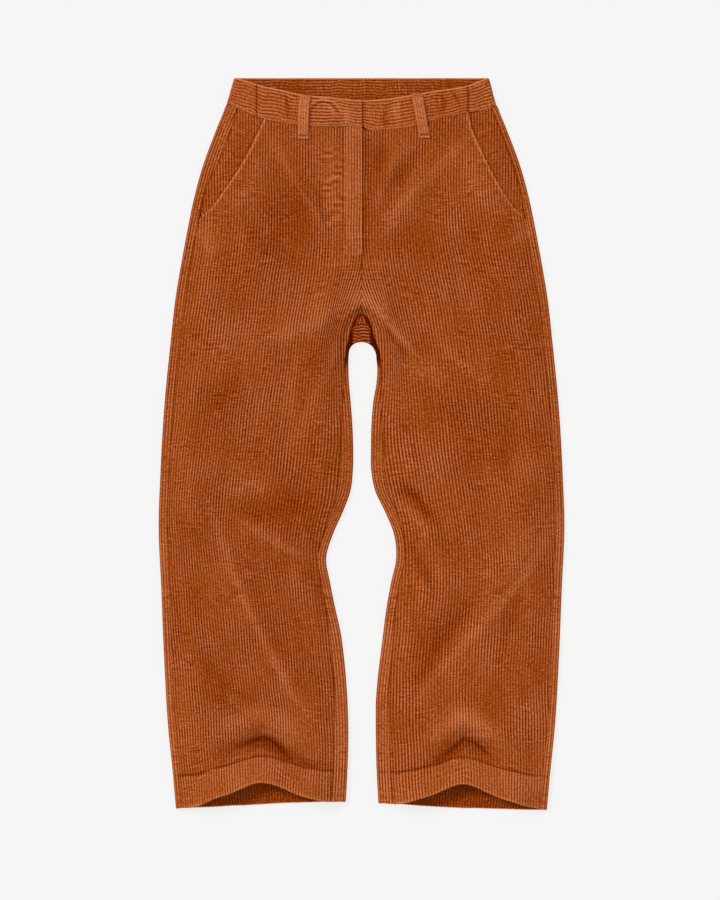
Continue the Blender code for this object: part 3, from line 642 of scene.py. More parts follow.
def fork_line(side, rows):
    """The inner silhouette from the middle of the fork to the hem."""
    table = leg_table(
        FORK_EDGE, side, lambda row: settle(row, lambda down: side * inner_edge(side, down), 0.5)
    )
    return np.column_stack((curve(table, 1, rows), curve(table, 2, rows)))


def spaced(*stops):
    """Rows from stop to stop, given as a row, the spacing after it, the next row, and so on."""
    rows = []
    for start, step, end in zip(stops[0::2], stops[1::2], stops[2::2]):
        rows.extend(np.linspace(start, end, max(1, round((end - start) / step)), endpoint=False))
    return np.array(rows + [stops[-1]], float)


def pile(wale):
    """The section of a wale: 1 on its rounded top and 0 in the furrow between two."""
    return (0.5 + 0.5 * np.cos(2 * math.pi * wale)) ** 0.6


def groove(distance, depth, width):
    """A soft dip along a line, at distances from it."""
    return -depth * np.exp(-((distance / width) ** 2))


def on_face(surface, x, down, lift=0.0):
    """Points on an upper face, moved out along its normals by lift, and the normals."""
    x, down = np.broadcast_arrays(np.asarray(x, float), np.asarray(down, float))
    slope_x = surface(x + SLOPE_STEP, down) - surface(x - SLOPE_STEP, down)
    slope_d = surface(x, down + SLOPE_STEP) - surface(x, down - SLOPE_STEP)
    slope_x, slope_d = slope_x / (2 * SLOPE_STEP), slope_d / (2 * SLOPE_STEP)
    normals = np.stack((-slope_x, -slope_d, np.ones(x.shape)), -1)
    normals /= np.linalg.norm(normals, axis=-1)[..., None]
    points = np.stack((x, down, surface(x, down)), -1)
    return points + normals * np.asarray(lift)[..., None], normals


def sizes():
    return bpy.context.scene.trousers_sizes


def colours():
    return bpy.context.scene.trousers_colours


def wale_pitch():
    return sizes().wale_pitch / MM


def wale_height():
    return sizes().wale_height / MM


def corner_faces(faces):
    """A face over each small opening that is left where two rounded edges meet at a corner."""
    sides = {side for face in faces for side in zip(face, face[1:] + face[:1])}
    following = {end: start for start, end in sides if (end, start) not in sides}
    closed = []
    while following:
        corner, onward = following.popitem()
        loop = [corner]
        while onward != loop[0]:
            loop.append(onward)
            onward = following.pop(onward)
        closed.append(loop)
    return closed


class Cloth:
    """Gathers grids of points and makes them one mesh, in which points at the same place are one.

    Each point has a wale attribute: its place across the wales, in wales, its place along them, in
    millimetres, and its wear and painted light and shade, from -2 in the darkest painted shade to 1 on a
    light edge.
    """

    def __init__(self):
        self.points, self.wales, self.faces, self.count = [], [], [], 0

    def add(self, points, wale, along, wear_and_shade=0.0):
        """Adds points and returns their numbers, arranged as the points are."""
        shape = points.shape[:-1]
        values = np.zeros(shape + (3,))
        values[..., 0], values[..., 1], values[..., 2] = wale, along, np.clip(wear_and_shade, -2, 1)
        self.points.append(points.reshape(-1, 3))
        self.wales.append(values.reshape(-1, 3))
        numbers = np.arange(np.prod(shape)).reshape(shape) + self.count
        self.count += numbers.size
        return numbers

    def skin(self, numbers, flip):
        """Adds the faces between rows of points. They look up where the rows run down and the columns
        to the wearer's left; flip turns them over."""
        corners = (numbers[:-1, :-1], numbers[1:, :-1], numbers[1:, 1:], numbers[:-1, 1:])
        quads = np.stack(corners[::-1] if flip else corners, -1)
        self.faces.append(quads.reshape(-1, 4))

    def edge(self, outer, inner, bulge, wale, along, wear_and_shade, flip):
        """A rounded edge from a line of outer points to one of inner points. bulge holds vectors, how
        far it stands out in the middle."""
        turn = EDGE_TURN[:, None, None]
        points = outer + (inner - outer) * (1 - np.cos(turn)) / 2 + bulge * np.sin(turn)
        self.skin(self.add(points, wale, along, wear_and_shade), flip)

    def build(self, name, material):
        points, values = np.concatenate(self.points), np.concatenate(self.wales)
        keys = np.round(points / WELD).astype(np.int64)
        _, chosen, places = np.unique(keys, axis=0, return_index=True, return_inverse=True)
        quads = places.reshape(-1)[np.concatenate(self.faces)]
        faces = [list(dict.fromkeys(quad)) for quad in quads.tolist()]
        faces = [face for face in faces if len(face) > 2]
        used = np.unique([corner for face in faces for corner in face])
        number = {old: new for new, old in enumerate(used.tolist())}
        faces = [[number[corner] for corner in face] for face in faces]
        faces += corner_faces(faces)
        points, values = points[chosen][used], values[chosen][used]
        world = np.column_stack((points[:, 0], LENGTH / 2 - points[:, 1], points[:, 2])) * MM
        mesh = bpy.data.meshes.new(name)
        mesh.from_pydata(world.tolist(), [], faces)
        mesh.attributes.new("wale", "FLOAT_VECTOR", "POINT").data.foreach_set("vector", values.ravel())
        mesh.materials.append(material)
        mesh.shade_smooth()
        piece = bpy.data.objects.new(name, mesh)
        bpy.context.scene.collection.objects.link(piece)
        return piece


class Grid(NamedTuple):
    """Points on a panel's face, in rows down it and columns along its wales. Columns past an edge lie
    on it, so the first and the last column are always the panel's edges."""

    base: np.ndarray
    normals: np.ndarray
    across: np.ndarray  # distance across the wales
    low: np.ndarray  # distance to the first edge
    high: np.ndarray  # distance to the last edge
    floor: np.ndarray  # 0 on top, 1 on the floor


def out_of(line, normals, flip):
    """Unit vectors out of a panel, along its face and across one of its edges."""
    across = np.cross(normals, np.gradient(line, axis=0))
    across /= np.maximum(np.linalg.norm(across, axis=1), 1e-9)[:, None]
    return -across if flip else across


def columns(wales, samples):
    """Places across the wales, from the first of two wales to the last."""
    return np.arange(wales[0] * samples, wales[1] * samples) * wale_pitch() / samples


def thinned(values, step):
    return np.append(values[:-1:step], values[-1])


def shell(
    cloth, grid_at, relief_at, rows, fine, coarse, flip, bulges=(SEAM_ROUND, SEAM_ROUND), joined=2 * LENGTH
):
    """A panel: its face with the wales, its plain inner side, the turned-up hem and its edges. fine and
    coarse are the columns of points of the two sides. bulges are how far the first and the last edge
    are rounded. From the row joined on, the last edge goes on into another part of the same panel."""
    pitch = wale_pitch()
    face = grid_at(rows, fine)
    lift, wear_and_shade = relief_at(face, rows[:, None])
    outer = face.base + face.normals * lift[..., None]
    wale, row = face.across / pitch, np.broadcast_to(rows[:, None], face.across.shape)
    outer_numbers = cloth.add(outer, wale, row, wear_and_shade)
    cloth.skin(outer_numbers, flip)

    upper, turned = rows <= HEM_FOLD, rows >= HEM_FOLD
    back = grid_at(rows[upper], coarse)
    inner = back.base - back.normals * CLOTH
    # the inner side is painted darker as shade
    inner_numbers = cloth.add(inner, back.across / pitch, rows[upper][:, None], INNER_FACE_SHADE)
    cloth.skin(inner_numbers, not flip)

    hem = Grid(*(part[turned] for part in face))
    fade = smooth(np.minimum(hem.low, hem.high) / 2)
    depth = HEM_CLOTH + wale_height() * HEM_RELIEF * (pile(wale[turned]) - 0.5) * fade
    inside = hem.base - hem.normals * depth[..., None]
    inside_numbers = cloth.add(inside, wale[turned], row[turned], -HEM_SHADE * pile(wale[turned]))
    cloth.skin(inside_numbers, not flip)

    nearest = np.abs(coarse[None, :] - fine[:, None]).argmin(axis=1)
    nearest[0], nearest[-1] = 0, len(coarse) - 1
    cloth.skin(np.stack((outer_numbers[0], inner_numbers[0][nearest])), not flip)
    cloth.skin(np.stack((inner_numbers[-1][nearest], inside_numbers[0])), not flip)
    for column, bulge in ((0, bulges[0]), (-1, bulges[1])):
        turn = flip if column == 0 else not flip
        out = out_of(face.base[:, column], face.normals[:, column], turn)
        out = out * np.broadcast_to(bulge, rows.shape)[:, None]
        for part, side in ((upper, inner), (turned, inside)):
            count = np.count_nonzero(rows[part] <= joined) if column else len(side)
            if count > 1:
                chosen = np.flatnonzero(part)[:count]
                values = (values[chosen, column] for values in (wale, row, wear_and_shade))
                cloth.edge(outer[chosen, column], side[:count, column], out[chosen], *values, turn)
    scallop = np.array((0.0, 1.0, 0.0)) * (SCALLOP[0] + SCALLOP[1] * pile(wale[-1]))[:, None]
    cloth.edge(outer[-1], inside[-1], scallop, wale[-1], row[-1], RIM_WEAR, flip)


def slab(cloth, outer, inner, wale, along, wear_and_shade, bulges, flip=False):
    """A closed piece between two grids of points. bulges are how far its edges are rounded: first
    row, last row, first column and last column."""
    wale, along, wear_and_shade = (np.broadcast_to(value, outer.shape[:-1]) for value in (wale, along, wear_and_shade))
    cloth.skin(cloth.add(outer, wale, along, wear_and_shade), flip)
    # the inner side is painted darker as shade
    cloth.skin(cloth.add(inner, wale, along, wear_and_shade - INNER_SHADE), not flip)
    grids = outer, inner, wale, along, wear_and_shade
    edges = [
        ([grid[0] for grid in grids], outer[0] - outer[2], not flip),
        ([grid[-1] for grid in grids], outer[-1] - outer[-3], flip),
        ([grid[:, 0] for grid in grids], outer[:, 0] - outer[:, 3], flip),
        ([grid[:, -1] for grid in grids], outer[:, -1] - outer[:, -4], not flip),
    ]
    for ((first, second, *values), out, turn), bulge in zip(edges, bulges):
        out = out / np.linalg.norm(out, axis=-1)[:, None]
        cloth.edge(first, second, out * bulge, *values, turn)


# ---- fronts ----


def wale_x(side, row, start):
    """x at a row of the wale that starts this far from the middle at the waist."""
    share = np.clip(start / WALE_SPAN, 0, 1)
    first = 1 if side == RIGHT else 4
    inner, middle, outer = (curve(WALE_DRIFT, first + column, row) for column in range(3))
    drift = inner * (1 - share) * (1 - 2 * share) + middle * 4 * share * (1 - share)
    drift = drift + outer * share * (2 * share - 1)
    drift = drift + curve(WALE_FAN, 1, row) * np.exp(-((np.maximum(start, 0) / WALE_FAN_REACH) ** 2))
    sway = 0.5 * np.sin(row / 27 + start / 31) + 0.35 * np.sin(row / 13 - start / 19 + side)
    return side * (start + drift + sway * ramp(row, 60, 120))


def front_inner(side, rows):
    """x and down of a front's edge at the centre, then along the inseam."""
    low = rows >= CROTCH_ROW
    under = LAP_UNDER * ramp(rows, FLY_END + 8, FLY_END - 8) if side == LEFT else 0
    x = side * SEAM_GAP / 2 - under + np.zeros(rows.shape)
    down = down_at(rows, x, 1) - (CROTCH_ROW - CROTCH) * ramp(rows, 320, CROTCH_ROW)
    line = seam_line(side, rows[low], SEAM_GAP / 2)
    x[low], down[low] = line[:, 0], line[:, 1]
    x[low] = side * np.maximum(side * x[low], SEAM_GAP / 2)
    return x, down


def front_outer(side, rows):
    """x of a front's edge at the slanted pocket, then along the side seam."""
    pocket = side * curve(POCKET_EDGE, of_side(side), rows)
    seam = side_seam(side, rows)[0] - side * SEAM_GAP / 2
    return pocket + (seam - pocket) * ramp(rows, 176, 191)


def front_grid(side, rows, starts):
    """The face of a front. Its columns follow the wales, and starts are their places at the waist."""
    row = rows[:, None]
    inner_x, inner_down = front_inner(side, rows)
    outer_x = front_outer(side, rows)
    free = side * wale_x(side, row, starts[None, :])
    near, far = (side * inner_x)[:, None], (side * outer_x)[:, None]
    place = np.clip(free, near, far)
    across = np.array([np.interp(*line, starts) for line in zip(place, free)])
    x = side * place
    shift = (inner_down - down_at(rows, inner_x, 1))[:, None]
    down = down_at(row, x, 1) + shift * ((far - place) / (far - near)) ** FAN
    base, normals = on_face(lapped if side == RIGHT else height, x, down)
    return Grid(base, normals, across, place - near, far - place, np.zeros(place.shape))


def arch_light_and_shade(x, down, share):
    """Painted light and shade round the crotch's arch: painted shade dark in its mouth, a painted highlight
    along its edge, and wales that gather above it painted lighter, with painted shade between them. share is
    how high a place is on its wale."""
    inside = curve(ARCH, 1, down) - np.abs(x)
    mouth = groove(inside - 2, 1.8, 2.5) - 0.25 * smooth(inside / 3) - groove(inside + 4, 0.2, 3)
    mouth = mouth * ramp(down, 315, 319) * ramp(down, 384, 364)
    return mouth + 0.3 * spot(x, down, 0, 296, 20, 12) + 0.9 * (share - 0.45) * spot(x, down, 0, 322, 48, 42)


def fly_relief(x, down, row, share):
    """What the fly does to the right front, with painted light and shade: ripples beside the lap, where the
    seam behind them draws the cloth in, painted lighter and darker, the lap's stitching with painted shade
    in its groove, and a light spot at the tack."""
    drawn = np.exp(-(((x + 38) / 15) ** 2)) * ramp(row, 70, 82) * ramp(row, 214, 164)
    drawn = drawn * (0.6 + 0.5 * np.sin(row / 9 + x / 6))
    ripple = np.sin(row * 2.05 + 1.3 * np.sin(x / 4.3) + 0.9 * np.sin(row / 5))
    stitched = groove(from_line(x, down, FLY_STITCH)[0], 1.0, 1.1)
    # painted light and shade on the ripples, and painted shade in the stitching's groove
    wear_and_shade = drawn * (0.7 * ripple - 0.7 * (share - 0.5)) + 0.35 * stitched
    return 0.15 * drawn * ripple + STITCH_SINK * stitched, wear_and_shade + 0.6 * spot(x, row, -5, FLY_END - 1, 5, 2.2)


def front_relief(side, grid, row):
    """How far a front's face stands off its base, and its wear and painted light and shade."""
    x, down = grid.base[..., 0], grid.base[..., 1]
    share = pile(grid.across / wale_pitch())
    fade = 0.25 + 0.75 * smooth(np.minimum(grid.low, grid.high) / 1.2)
    slanted = ramp(row, POCKET_END - 2, POCKET_END - 8)
    fly = ramp(row, FLY_END + 4, FLY_END - 4)
    seamed = (1 - fly) * (0.4 + 0.6 * ramp(row, 300, 330))
    pocket = grid.high * 0.88  # the same distance, square to the pocket's slanted edge
    hem = groove(row - HEM_FOLD, 0.8, 1.3) * (1 + 0.3 * np.sin(x / 11 + 2 * np.sin(x / 29)))
    lift = (
        wale_height() * (share - 0.4) * fade
        + groove(grid.low, *SEAM_DIP) * seamed
        + groove(grid.high, *SEAM_DIP) * (1 - slanted)
        - groove(grid.low - 6, 0.3, 3.5) * (1 - fly)
        + groove(row - PANEL_TOP, *WAIST_DIP)
        + hem
        - groove(pocket - 1.4, 0.5, 1.0) * slanted
        + 0.3 * ramp(row, HEM_FOLD, HEM_FOLD + 3)
    )
    wear_and_shade = (
        worn_and_shaded(x, down)
        + arch_light_and_shade(x, down, share)
        + groove(grid.low, *SEAM_SHADE) * seamed
        + groove(grid.high, *SEAM_SHADE) * (1 - slanted)
        + groove(row - PANEL_TOP, *WAIST_SHADE)
        # painted shade in the groove of the hem's stitching
        + hem
        - groove(pocket - 0.8, 0.9, 1.2) * slanted
        + 0.2 * ramp(row, HEM_FOLD + 1, HEM_FOLD + 4)
        - groove(row - HEM_FOLD - 3.2, 0.25, 1.6)
        - groove(row - LENGTH, 0.4, 1.6)
    )
    if side == LEFT:
        # painted shadow of the fly's lap along the left front's edge under it
        return lift, wear_and_shade + groove(grid.low - LAP_UNDER, 0.35, 9) * fly
    fly_lift, fly_light_and_shade = fly_relief(x, down, row, share)
    lap = 0.28 * ramp(x, -LAP_WIDTH - 1, 1 - LAP_WIDTH) - groove(grid.low, 0.4, 1.2)
    return lift + fly_lift, wear_and_shade + fly_light_and_shade + lap * fly


def front_panel(side, material):
    """Lies on top, from the centre to the pocket's edge and the side seam."""
    cloth = Cloth()
    fine = columns(FRONT_WALES, SAMPLES)
    rows = spaced(*FRONT_ROWS)
    lap = SEAM_ROUND
    if side == RIGHT:
        lap = lap + LAP_ROUND * ramp(rows, FLY_END, FLY_END - 10)
    pocket = SEAM_ROUND + POCKET_ROUND * ramp(rows, POCKET_END, POCKET_END - 10)
    shell(
        cloth,
        lambda rows, starts: front_grid(side, rows, starts),
        lambda grid, row: front_relief(side, grid, row),
        rows,
        fine,
        thinned(fine, SAMPLES),
        side == RIGHT,
        (lap, pocket),
    )
    return cloth.build(f"front_{WORD[side]}_cloth", material)


# ---- backs ----


def bent(distance, radius):
    """Round a folded edge: the angle above the middle of the bend, at a distance past it, and how far
    beyond the bend the distance goes on top and on the floor."""
    quarter = math.pi * radius / 2
    angle = np.clip(-distance / radius, -math.pi / 2, math.pi / 2)
    return angle, np.maximum(-distance - quarter, 0), np.maximum(distance - quarter, 0)


def wrapped(x, down, out_x, out_d, angle, radius, beyond, low, high, across):
    """A Grid round a folded edge. beyond is how far each point lies past the bend, on top."""
    cos, sin = np.cos(angle), np.sin(angle)
    z = radius + radius * sin
    normals = np.stack((out_x * cos, out_d * cos, sin), -1)
    top = beyond > 0
    flat = (angle <= -math.pi / 2 + 1e-9) & ~top
    above, slopes = on_face(height, x[top], down[top])
    z[top], normals[top] = above[:, 2], slopes
    fade = smooth(np.minimum(low, high) / FLOOR_FADE)
    z[flat] = z[flat] + tally(FLOOR_FOLDS, x, down)[flat] * fade[flat]
    base = np.stack((x, down, z), -1)
    return Grid(base, normals, across, low, high, 0.5 - 0.5 * sin)


def fork_frame(side, rows):
    """The inner edge at rows from the crotch down, its directions into the cloth, and its radius."""
    edge = fork_line(side, rows)
    inward = sideways(edge, side)
    if rows[0] == CROTCH_ROW:
        inward[0] = (0, -1)
    return edge, inward, curve(SECTIONS, 3, edge[:, 1])


def back_outer_grid(side, rows, distances):
    """From the side seam on top, round the outline, and along the floor to the centre or to the inner
    edge's bend."""
    row = rows[:, None]
    seam_x = side_seam(side, rows)[0] + side * SEAM_GAP / 2
    outline_x, outline_down = outline(side, rows)
    radius = curve(SECTIONS, 3, outline_down)
    end_x = np.full(rows.shape, side * SEAM_GAP / 2)
    end_down = down_at(rows, 0, 0) + FORK_DROP * ramp(rows, 320, CROTCH_ROW)
    leg = rows >= CROTCH_ROW
    edge, inward, bend = fork_frame(side, rows[leg])
    end_x[leg] = side * np.maximum(side * (edge[:, 0] + inward[:, 0] * bend), SEAM_GAP / 2)
    end_down[leg] = edge[:, 1] + inward[:, 1] * bend
    end_down[leg] += down_at(rows[leg], edge[:, 0], 0) - down_at(rows[leg], edge[:, 0], 0.5)
    quarter = math.pi * radius / 2
    start = -(quarter + np.abs(outline_x) - radius - np.abs(seam_x))
    end = quarter + np.abs(outline_x) - radius - np.abs(end_x)
    place = np.clip(distances[None, :], start[:, None], end[:, None])
    radius = np.broadcast_to(radius[:, None], place.shape)
    angle, beyond, floor = bent(place, radius)
    x = side * (np.abs(outline_x)[:, None] - radius * (1 - np.cos(angle)) - beyond - floor)
    share = floor / (end - quarter)[:, None]
    down = down_at(row, x, 0.5 + 0.5 * np.sin(angle))
    down = down + (end_down - down_at(rows, end_x, 0))[:, None] * share
    low, high = place - start[:, None], end[:, None] - place
    return wrapped(x, down, side, 0.0 * x, angle, radius, beyond, low, high, place)


def back_inner_grid(side, rows, distances):
    """From the inseam on top, round the inner edge, to where the floor begins."""
    edge, inward, radius = fork_frame(side, rows)
    seam = seam_line(side, rows, -SEAM_GAP / 2)
    seam[:, 0] = side * np.maximum(side * seam[:, 0], SEAM_GAP / 2)
    quarter = math.pi * radius / 2
    sink = down_at(rows, edge[:, 0], 1) - down_at(rows, edge[:, 0], 0.5)
    start = edge + inward * radius[:, None] + np.column_stack((np.zeros(len(rows)), sink))
    width = np.linalg.norm(seam - start, axis=1)
    place = np.clip(distances[None, :], -(quarter + width)[:, None], quarter[:, None])
    radius = np.broadcast_to(radius[:, None], place.shape)
    angle, beyond, _ = bent(place, radius)
    back = radius * (1 - np.cos(angle))
    x = edge[:, 0, None] + inward[:, 0, None] * back
    down = edge[:, 1, None] + inward[:, 1, None] * back
    swing = down_at(rows[:, None], edge[:, 0, None], 0.5 + 0.5 * np.sin(angle))
    down = down + swing - down_at(rows, edge[:, 0], 0.5)[:, None]
    share = beyond / width[:, None]
    top = beyond > 0
    x = np.where(top, start[:, 0, None] + (seam - start)[:, 0, None] * share, x)
    down = np.where(top, start[:, 1, None] + (seam - start)[:, 1, None] * share, down)
    x = side * np.maximum(side * x, SEAM_GAP / 2)
    out = -np.broadcast_to(inward[:, None, :], x.shape + (2,))
    low, high = place + (quarter + width)[:, None], quarter[:, None] - place
    return wrapped(x, down, out[..., 0], out[..., 1], angle, radius, beyond, low, high, place)


def fork_light_and_shade(x, down):
    """Painted shade on the fork, where it shows in the crotch's arch: darker overall and darkest towards its
    sides, with wavy wales across painted as light and dark bands.
    """
    across = np.abs(x)
    shown = ramp(across, 34, 28) * ramp(down, 322, 326) * ramp(down, 396, 370)
    rounded = down - 0.8 * across * ramp(down, 338, 328)
    wavy = np.sin(rounded * 1.4 + 0.9 * np.sin(x / 3.1) + 0.6 * np.sin(x / 1.7 + 1))
    return shown * (0.95 * wavy - 0.4 - 2.4 * ramp(across, 10, 15))


def back_relief(grid, row):
    """How far a back's face stands off its base, and its wear and painted light and shade. Underneath, the
    tops of its wales touch the floor."""
    x, down = grid.base[..., 0], grid.base[..., 1]
    fade = smooth(grid.low / 1.2) * smooth(grid.high / 1.2)
    seamed = row < CROTCH_ROW
    stitched = groove(row - HEM_FOLD, 0.5, 1.5) + groove(row - PANEL_TOP, 0.5, 1.4)
    lift = (
        wale_height() * (pile(grid.across / wale_pitch()) - 0.4 - 0.6 * grid.floor) * fade
        + groove(grid.low, *SEAM_DIP)
        + stitched * smooth(grid.high / 2)
        + groove(grid.high, 0.7, 1.5) * seamed
    )
    strip = 0.15 + 0.17 * ramp(row, 560, 650)
    wear_and_shade = (
        groove(grid.low, *SEAM_SHADE)
        # painted shade along the hem's stitching and the centre seam
        + groove(row - HEM_FOLD, 0.5, 1.1)
        + groove(grid.high, 0.8, 1.1) * seamed
        + fork_light_and_shade(x, down)
        + (strip + worn_and_shaded(x, down)) * (1 - grid.floor)
    )
    return lift, wear_and_shade


def back_panel(side, material):
    """Lies on the floor and comes round both edges of the leg to the front. Its two parts, round the
    outline and round the inner edge, meet where the floor begins."""
    cloth = Cloth()
    fork = spaced(*FORK_ROWS)
    rows = np.concatenate((spaced(*BACK_ROWS)[:-1], fork))
    strip, floor = columns(BACK_WALES, SAMPLES), columns(FLOOR_WALES, FLOOR_SAMPLES)
    fine = np.concatenate((strip, floor))
    coarse = np.concatenate((strip[:: SAMPLES // 2], thinned(floor, 2 * FLOOR_SAMPLES)))
    for grid_at, own_rows, own_fine, own_coarse, flip, joined in (
        (back_outer_grid, rows, fine, coarse, side == RIGHT, CROTCH_ROW),
        (back_inner_grid, fork, strip, thinned(strip, 2), side == LEFT, 0),
    ):
        shell(
            cloth,
            lambda rows, distances, grid_at=grid_at: grid_at(side, rows, distances),
            back_relief,
            own_rows,
            own_fine,
            own_coarse,
            flip,
            joined=joined,
        )
    return cloth.build(f"back_{WORD[side]}_cloth", material)


# ---- pocket facings and fly shield ----


def pocket_facing(side, material):
    """Lies under the front's slanted edge, and comes up to meet the back at the side seam."""
    cloth = Cloth()
    rows = spaced(*FACING_ROWS)
    row = np.minimum(rows, POCKET_END)
    below = ramp(rows, POCKET_END, POCKET_END + 5)
    edge_x = side * curve(POCKET_EDGE, of_side(side), row)
    seam_x = side_seam(side, row)[0] - side * (SEAM_GAP / 2 + FACING_INSET * below)
    edge_x = side * np.minimum(side * edge_x, side * seam_x - 1.5)
    tuck, share = FACING_TUCK * np.linspace(1, 0, 13)[:-1], np.linspace(0, 1, 90)
    tucked = edge_x[:, None] - side * tuck
    shown = edge_x[:, None] + (seam_x - edge_x)[:, None] * share
    x = np.concatenate((tucked, shown), axis=1)
    down = down_at(rows[:, None], x, 1)
    out = side * (x - edge_x[:, None])
    up = ramp(out, 7, 25) * (1 - below[:, None])
    sunk = (CLOTH + LAYER_GAP) * (1 - up) + FACING_SINK * below[:, None]
    wale = np.abs(x) / wale_pitch()
    to_seam = side * (seam_x[:, None] - x)
    lift = wale_height() * (pile(wale) - 0.45) * ramp(out, -1, 2) * smooth(0.2 + to_seam / 1.2)
    lift = lift + groove(to_seam, 0.9, 1.5) + groove(rows[:, None] - PANEL_TOP, *WAIST_DIP)
    # painted shadow along the front's slanted edge, which the facing lies under, and painted shade at the
    # side seam and the waist
    wear_and_shade = groove(out, 0.6, 2.5) + groove(to_seam, 0.4, 0.9) - 0.06
    wear_and_shade = wear_and_shade + groove(rows[:, None] - PANEL_TOP, *WAIST_SHADE) + 0.5 * worn_and_shaded(x, down)
    outer, _ = on_face(height, x, down, lift - sunk)
    inner, _ = on_face(height, x, down, -sunk - CLOTH)
    bulges = 0.1, RAW_ROUND, RAW_ROUND, SEAM_ROUND
    slab(cloth, outer, inner, wale, rows[:, None], wear_and_shade, bulges, side == RIGHT)
    return cloth.build(f"pocket_facing_{WORD[side]}_cloth", material)


def fly_shield(material):
    """Behind the lap, on the right front's inner side."""
    cloth = Cloth()
    rows = spaced(*SHIELD_ROWS)
    outer_x = -SHIELD_WIDTH * ramp(rows, FLY_END + 40, FLY_END - 20)
    x = outer_x[:, None] + (3 - outer_x)[:, None] * np.linspace(0, 1, 72)
    down = down_at(rows[:, None], x, 1) + 1
    wale = x / wale_pitch()
    lift = -CLOTH - LAYER_GAP - 0.5 + 0.4 * pile(wale)
    outer, _ = on_face(height, x, down, lift)
    inner, _ = on_face(height, x, down, 0 * x - 2 * CLOTH - LAYER_GAP)
    # painted shade: darker, as it lies under the lap
    slab(cloth, outer, inner, wale, rows[:, None], -0.3, (0.1, RAW_ROUND, RAW_ROUND, RAW_ROUND))
    return cloth.build("fly_shield_cloth", material)


# ---- waistband ----


def band_place(x, share):
    """down on the front waistband, from its top edge to its lower edge."""
    top, bottom = curve(BAND_EDGES, 1, x), curve(BAND_EDGES, 2, x) - SEAM_GAP / 2
    return top + (bottom - top) * share


def band_lift(side, x):
    """How much higher a front waistband lies: the right one's end lies on the left one's underlap."""
    if side == RIGHT:
        return UNDERLAP_RISE * smooth((x + UNDERLAP + 24) / 22)
    return -UNDERLAP_SINK * ramp(x, 14, 0)


def band_relief(x, share, on_top=1.0):
    """How far the band's face stands off its base, its wear and painted light and shade, and its wales,
    which run along it and waver a little."""
    to_edge = np.minimum(share, 1 - share)
    wavering = 0.15 * np.sin(x / 3.4 + 5 * share) * np.sin(x / 19)
    wavering = wavering + 0.2 * np.sin(x / 9 + 2 * np.sin(x / 23))
    wale = BAND_WALES * share + wavering * smooth(to_edge / 0.12)
    from_edge = to_edge * BAND_WIDTH
    rounded = BAND_CLOTH * 0.45 * (1 - smooth(from_edge / 2.4 + 0.15)) ** 2
    uneven = 0.25 * np.sin(x / 7 + 4 * share) * np.sin(x / 17 + 9 * share + 1)
    puckered = tally(BAND_FOLDS, x, band_place(x, share)) * on_top
    lift = wale_height() * (pile(wale) - 0.5) * smooth(from_edge / 1.5) - rounded + uneven
    wear_and_shade = 0.2 - groove(share * BAND_WIDTH, 0.5, 1.4) - groove((1 - share) * BAND_WIDTH - 1.5, 0.5, 1.5)
    # the puckers' tops are painted lighter and their troughs darker, as painted light and shade
    return lift + puckered, wear_and_shade + 0.75 * puckered, wale


def front_band(side, material):
    """From the centre, or its end under the other one, to the seam with the back waistband."""
    cloth = Cloth()
    start, end = BAND_START[side], side * (BAND_SEAM[side] - SEAM_GAP / 2)
    start = start - SEAM_GAP / 2 if side == RIGHT else start
    share = np.linspace(0, 1, BAND_WALES * SAMPLES + 1)[:, None]
    x = (start + (end - start) * np.linspace(0, 1, 76)[None, :]) + 0 * share
    short = 2.2 * share * ramp(x, 12, 2) if side == LEFT else 0
    down = band_place(x, share) - short
    base = BAND_PROUD + band_lift(side, x)
    lift, wear_and_shade, wale = band_relief(x, share)
    to_seam = np.abs(end - x)
    lift, wear_and_shade = lift + groove(to_seam, *BAND_DIP), wear_and_shade + groove(to_seam, *BAND_SHADE)
    if side == RIGHT:
        lift, wear_and_shade = lift + groove(x - start, 0.4, 1.2), wear_and_shade - groove(x - start, 0.3, 1.2)
    else:
        # painted shadow on the left waistband beside the right one's end
        wear_and_shade = wear_and_shade + groove(np.maximum(x, 0), 0.5, 5)
    outer, _ = on_face(height, x, down, base + lift)
    inner, _ = on_face(height, x, down, base - BAND_CLOTH - 0.2 * pile(wale))
    slab(cloth, outer, inner, wale, np.abs(x), wear_and_shade, (BAND_ROUND, 0.3, 0.7, SEAM_ROUND), side == RIGHT)
    return cloth.build(f"waistband_front_{WORD[side]}_cloth", material)


def band_half(side, share):
    """Points and normals from the band's seam round a corner to the middle of the floor."""
    start = side * (BAND_SEAM[side] + SEAM_GAP / 2)
    floor_down = BAND_FLOOR * share
    outline_x = side * curve(SECTIONS, 1, floor_down)
    radius = curve(SECTIONS, 3, floor_down)
    step = np.linspace(0, 1, 14)[None, :-1]
    x = start + (outline_x - side * radius - start) * step
    down = band_place(x, share)
    points, normals = on_face(height, x, down, BAND_PROUD * (1 - step) ** 2)
    angle = np.linspace(math.pi / 2, -math.pi / 2, 12)[None, :]
    bend_x = outline_x - side * radius * (1 - np.cos(angle))
    top = 0.5 + 0.5 * np.sin(angle)
    bend_down = band_place(outline_x, share) * top + floor_down * (1 - top)
    bend_z = radius + radius * np.sin(angle) + 0 * share
    bend = np.stack((bend_x, bend_down, bend_z), -1)
    turned = np.stack((side * np.cos(angle) + 0 * share, 0 * bend_x, np.sin(angle) + 0 * share), -1)
    floor_x = (outline_x - side * radius) * np.linspace(1, 0, 50)[None, 1:]
    floor = np.stack((floor_x, floor_down + 0 * floor_x, 0 * floor_x), -1)
    under = np.zeros(floor.shape)
    under[..., 2] = -1
    return np.concatenate((points, bend, floor), 1), np.concatenate((normals, turned, under), 1)


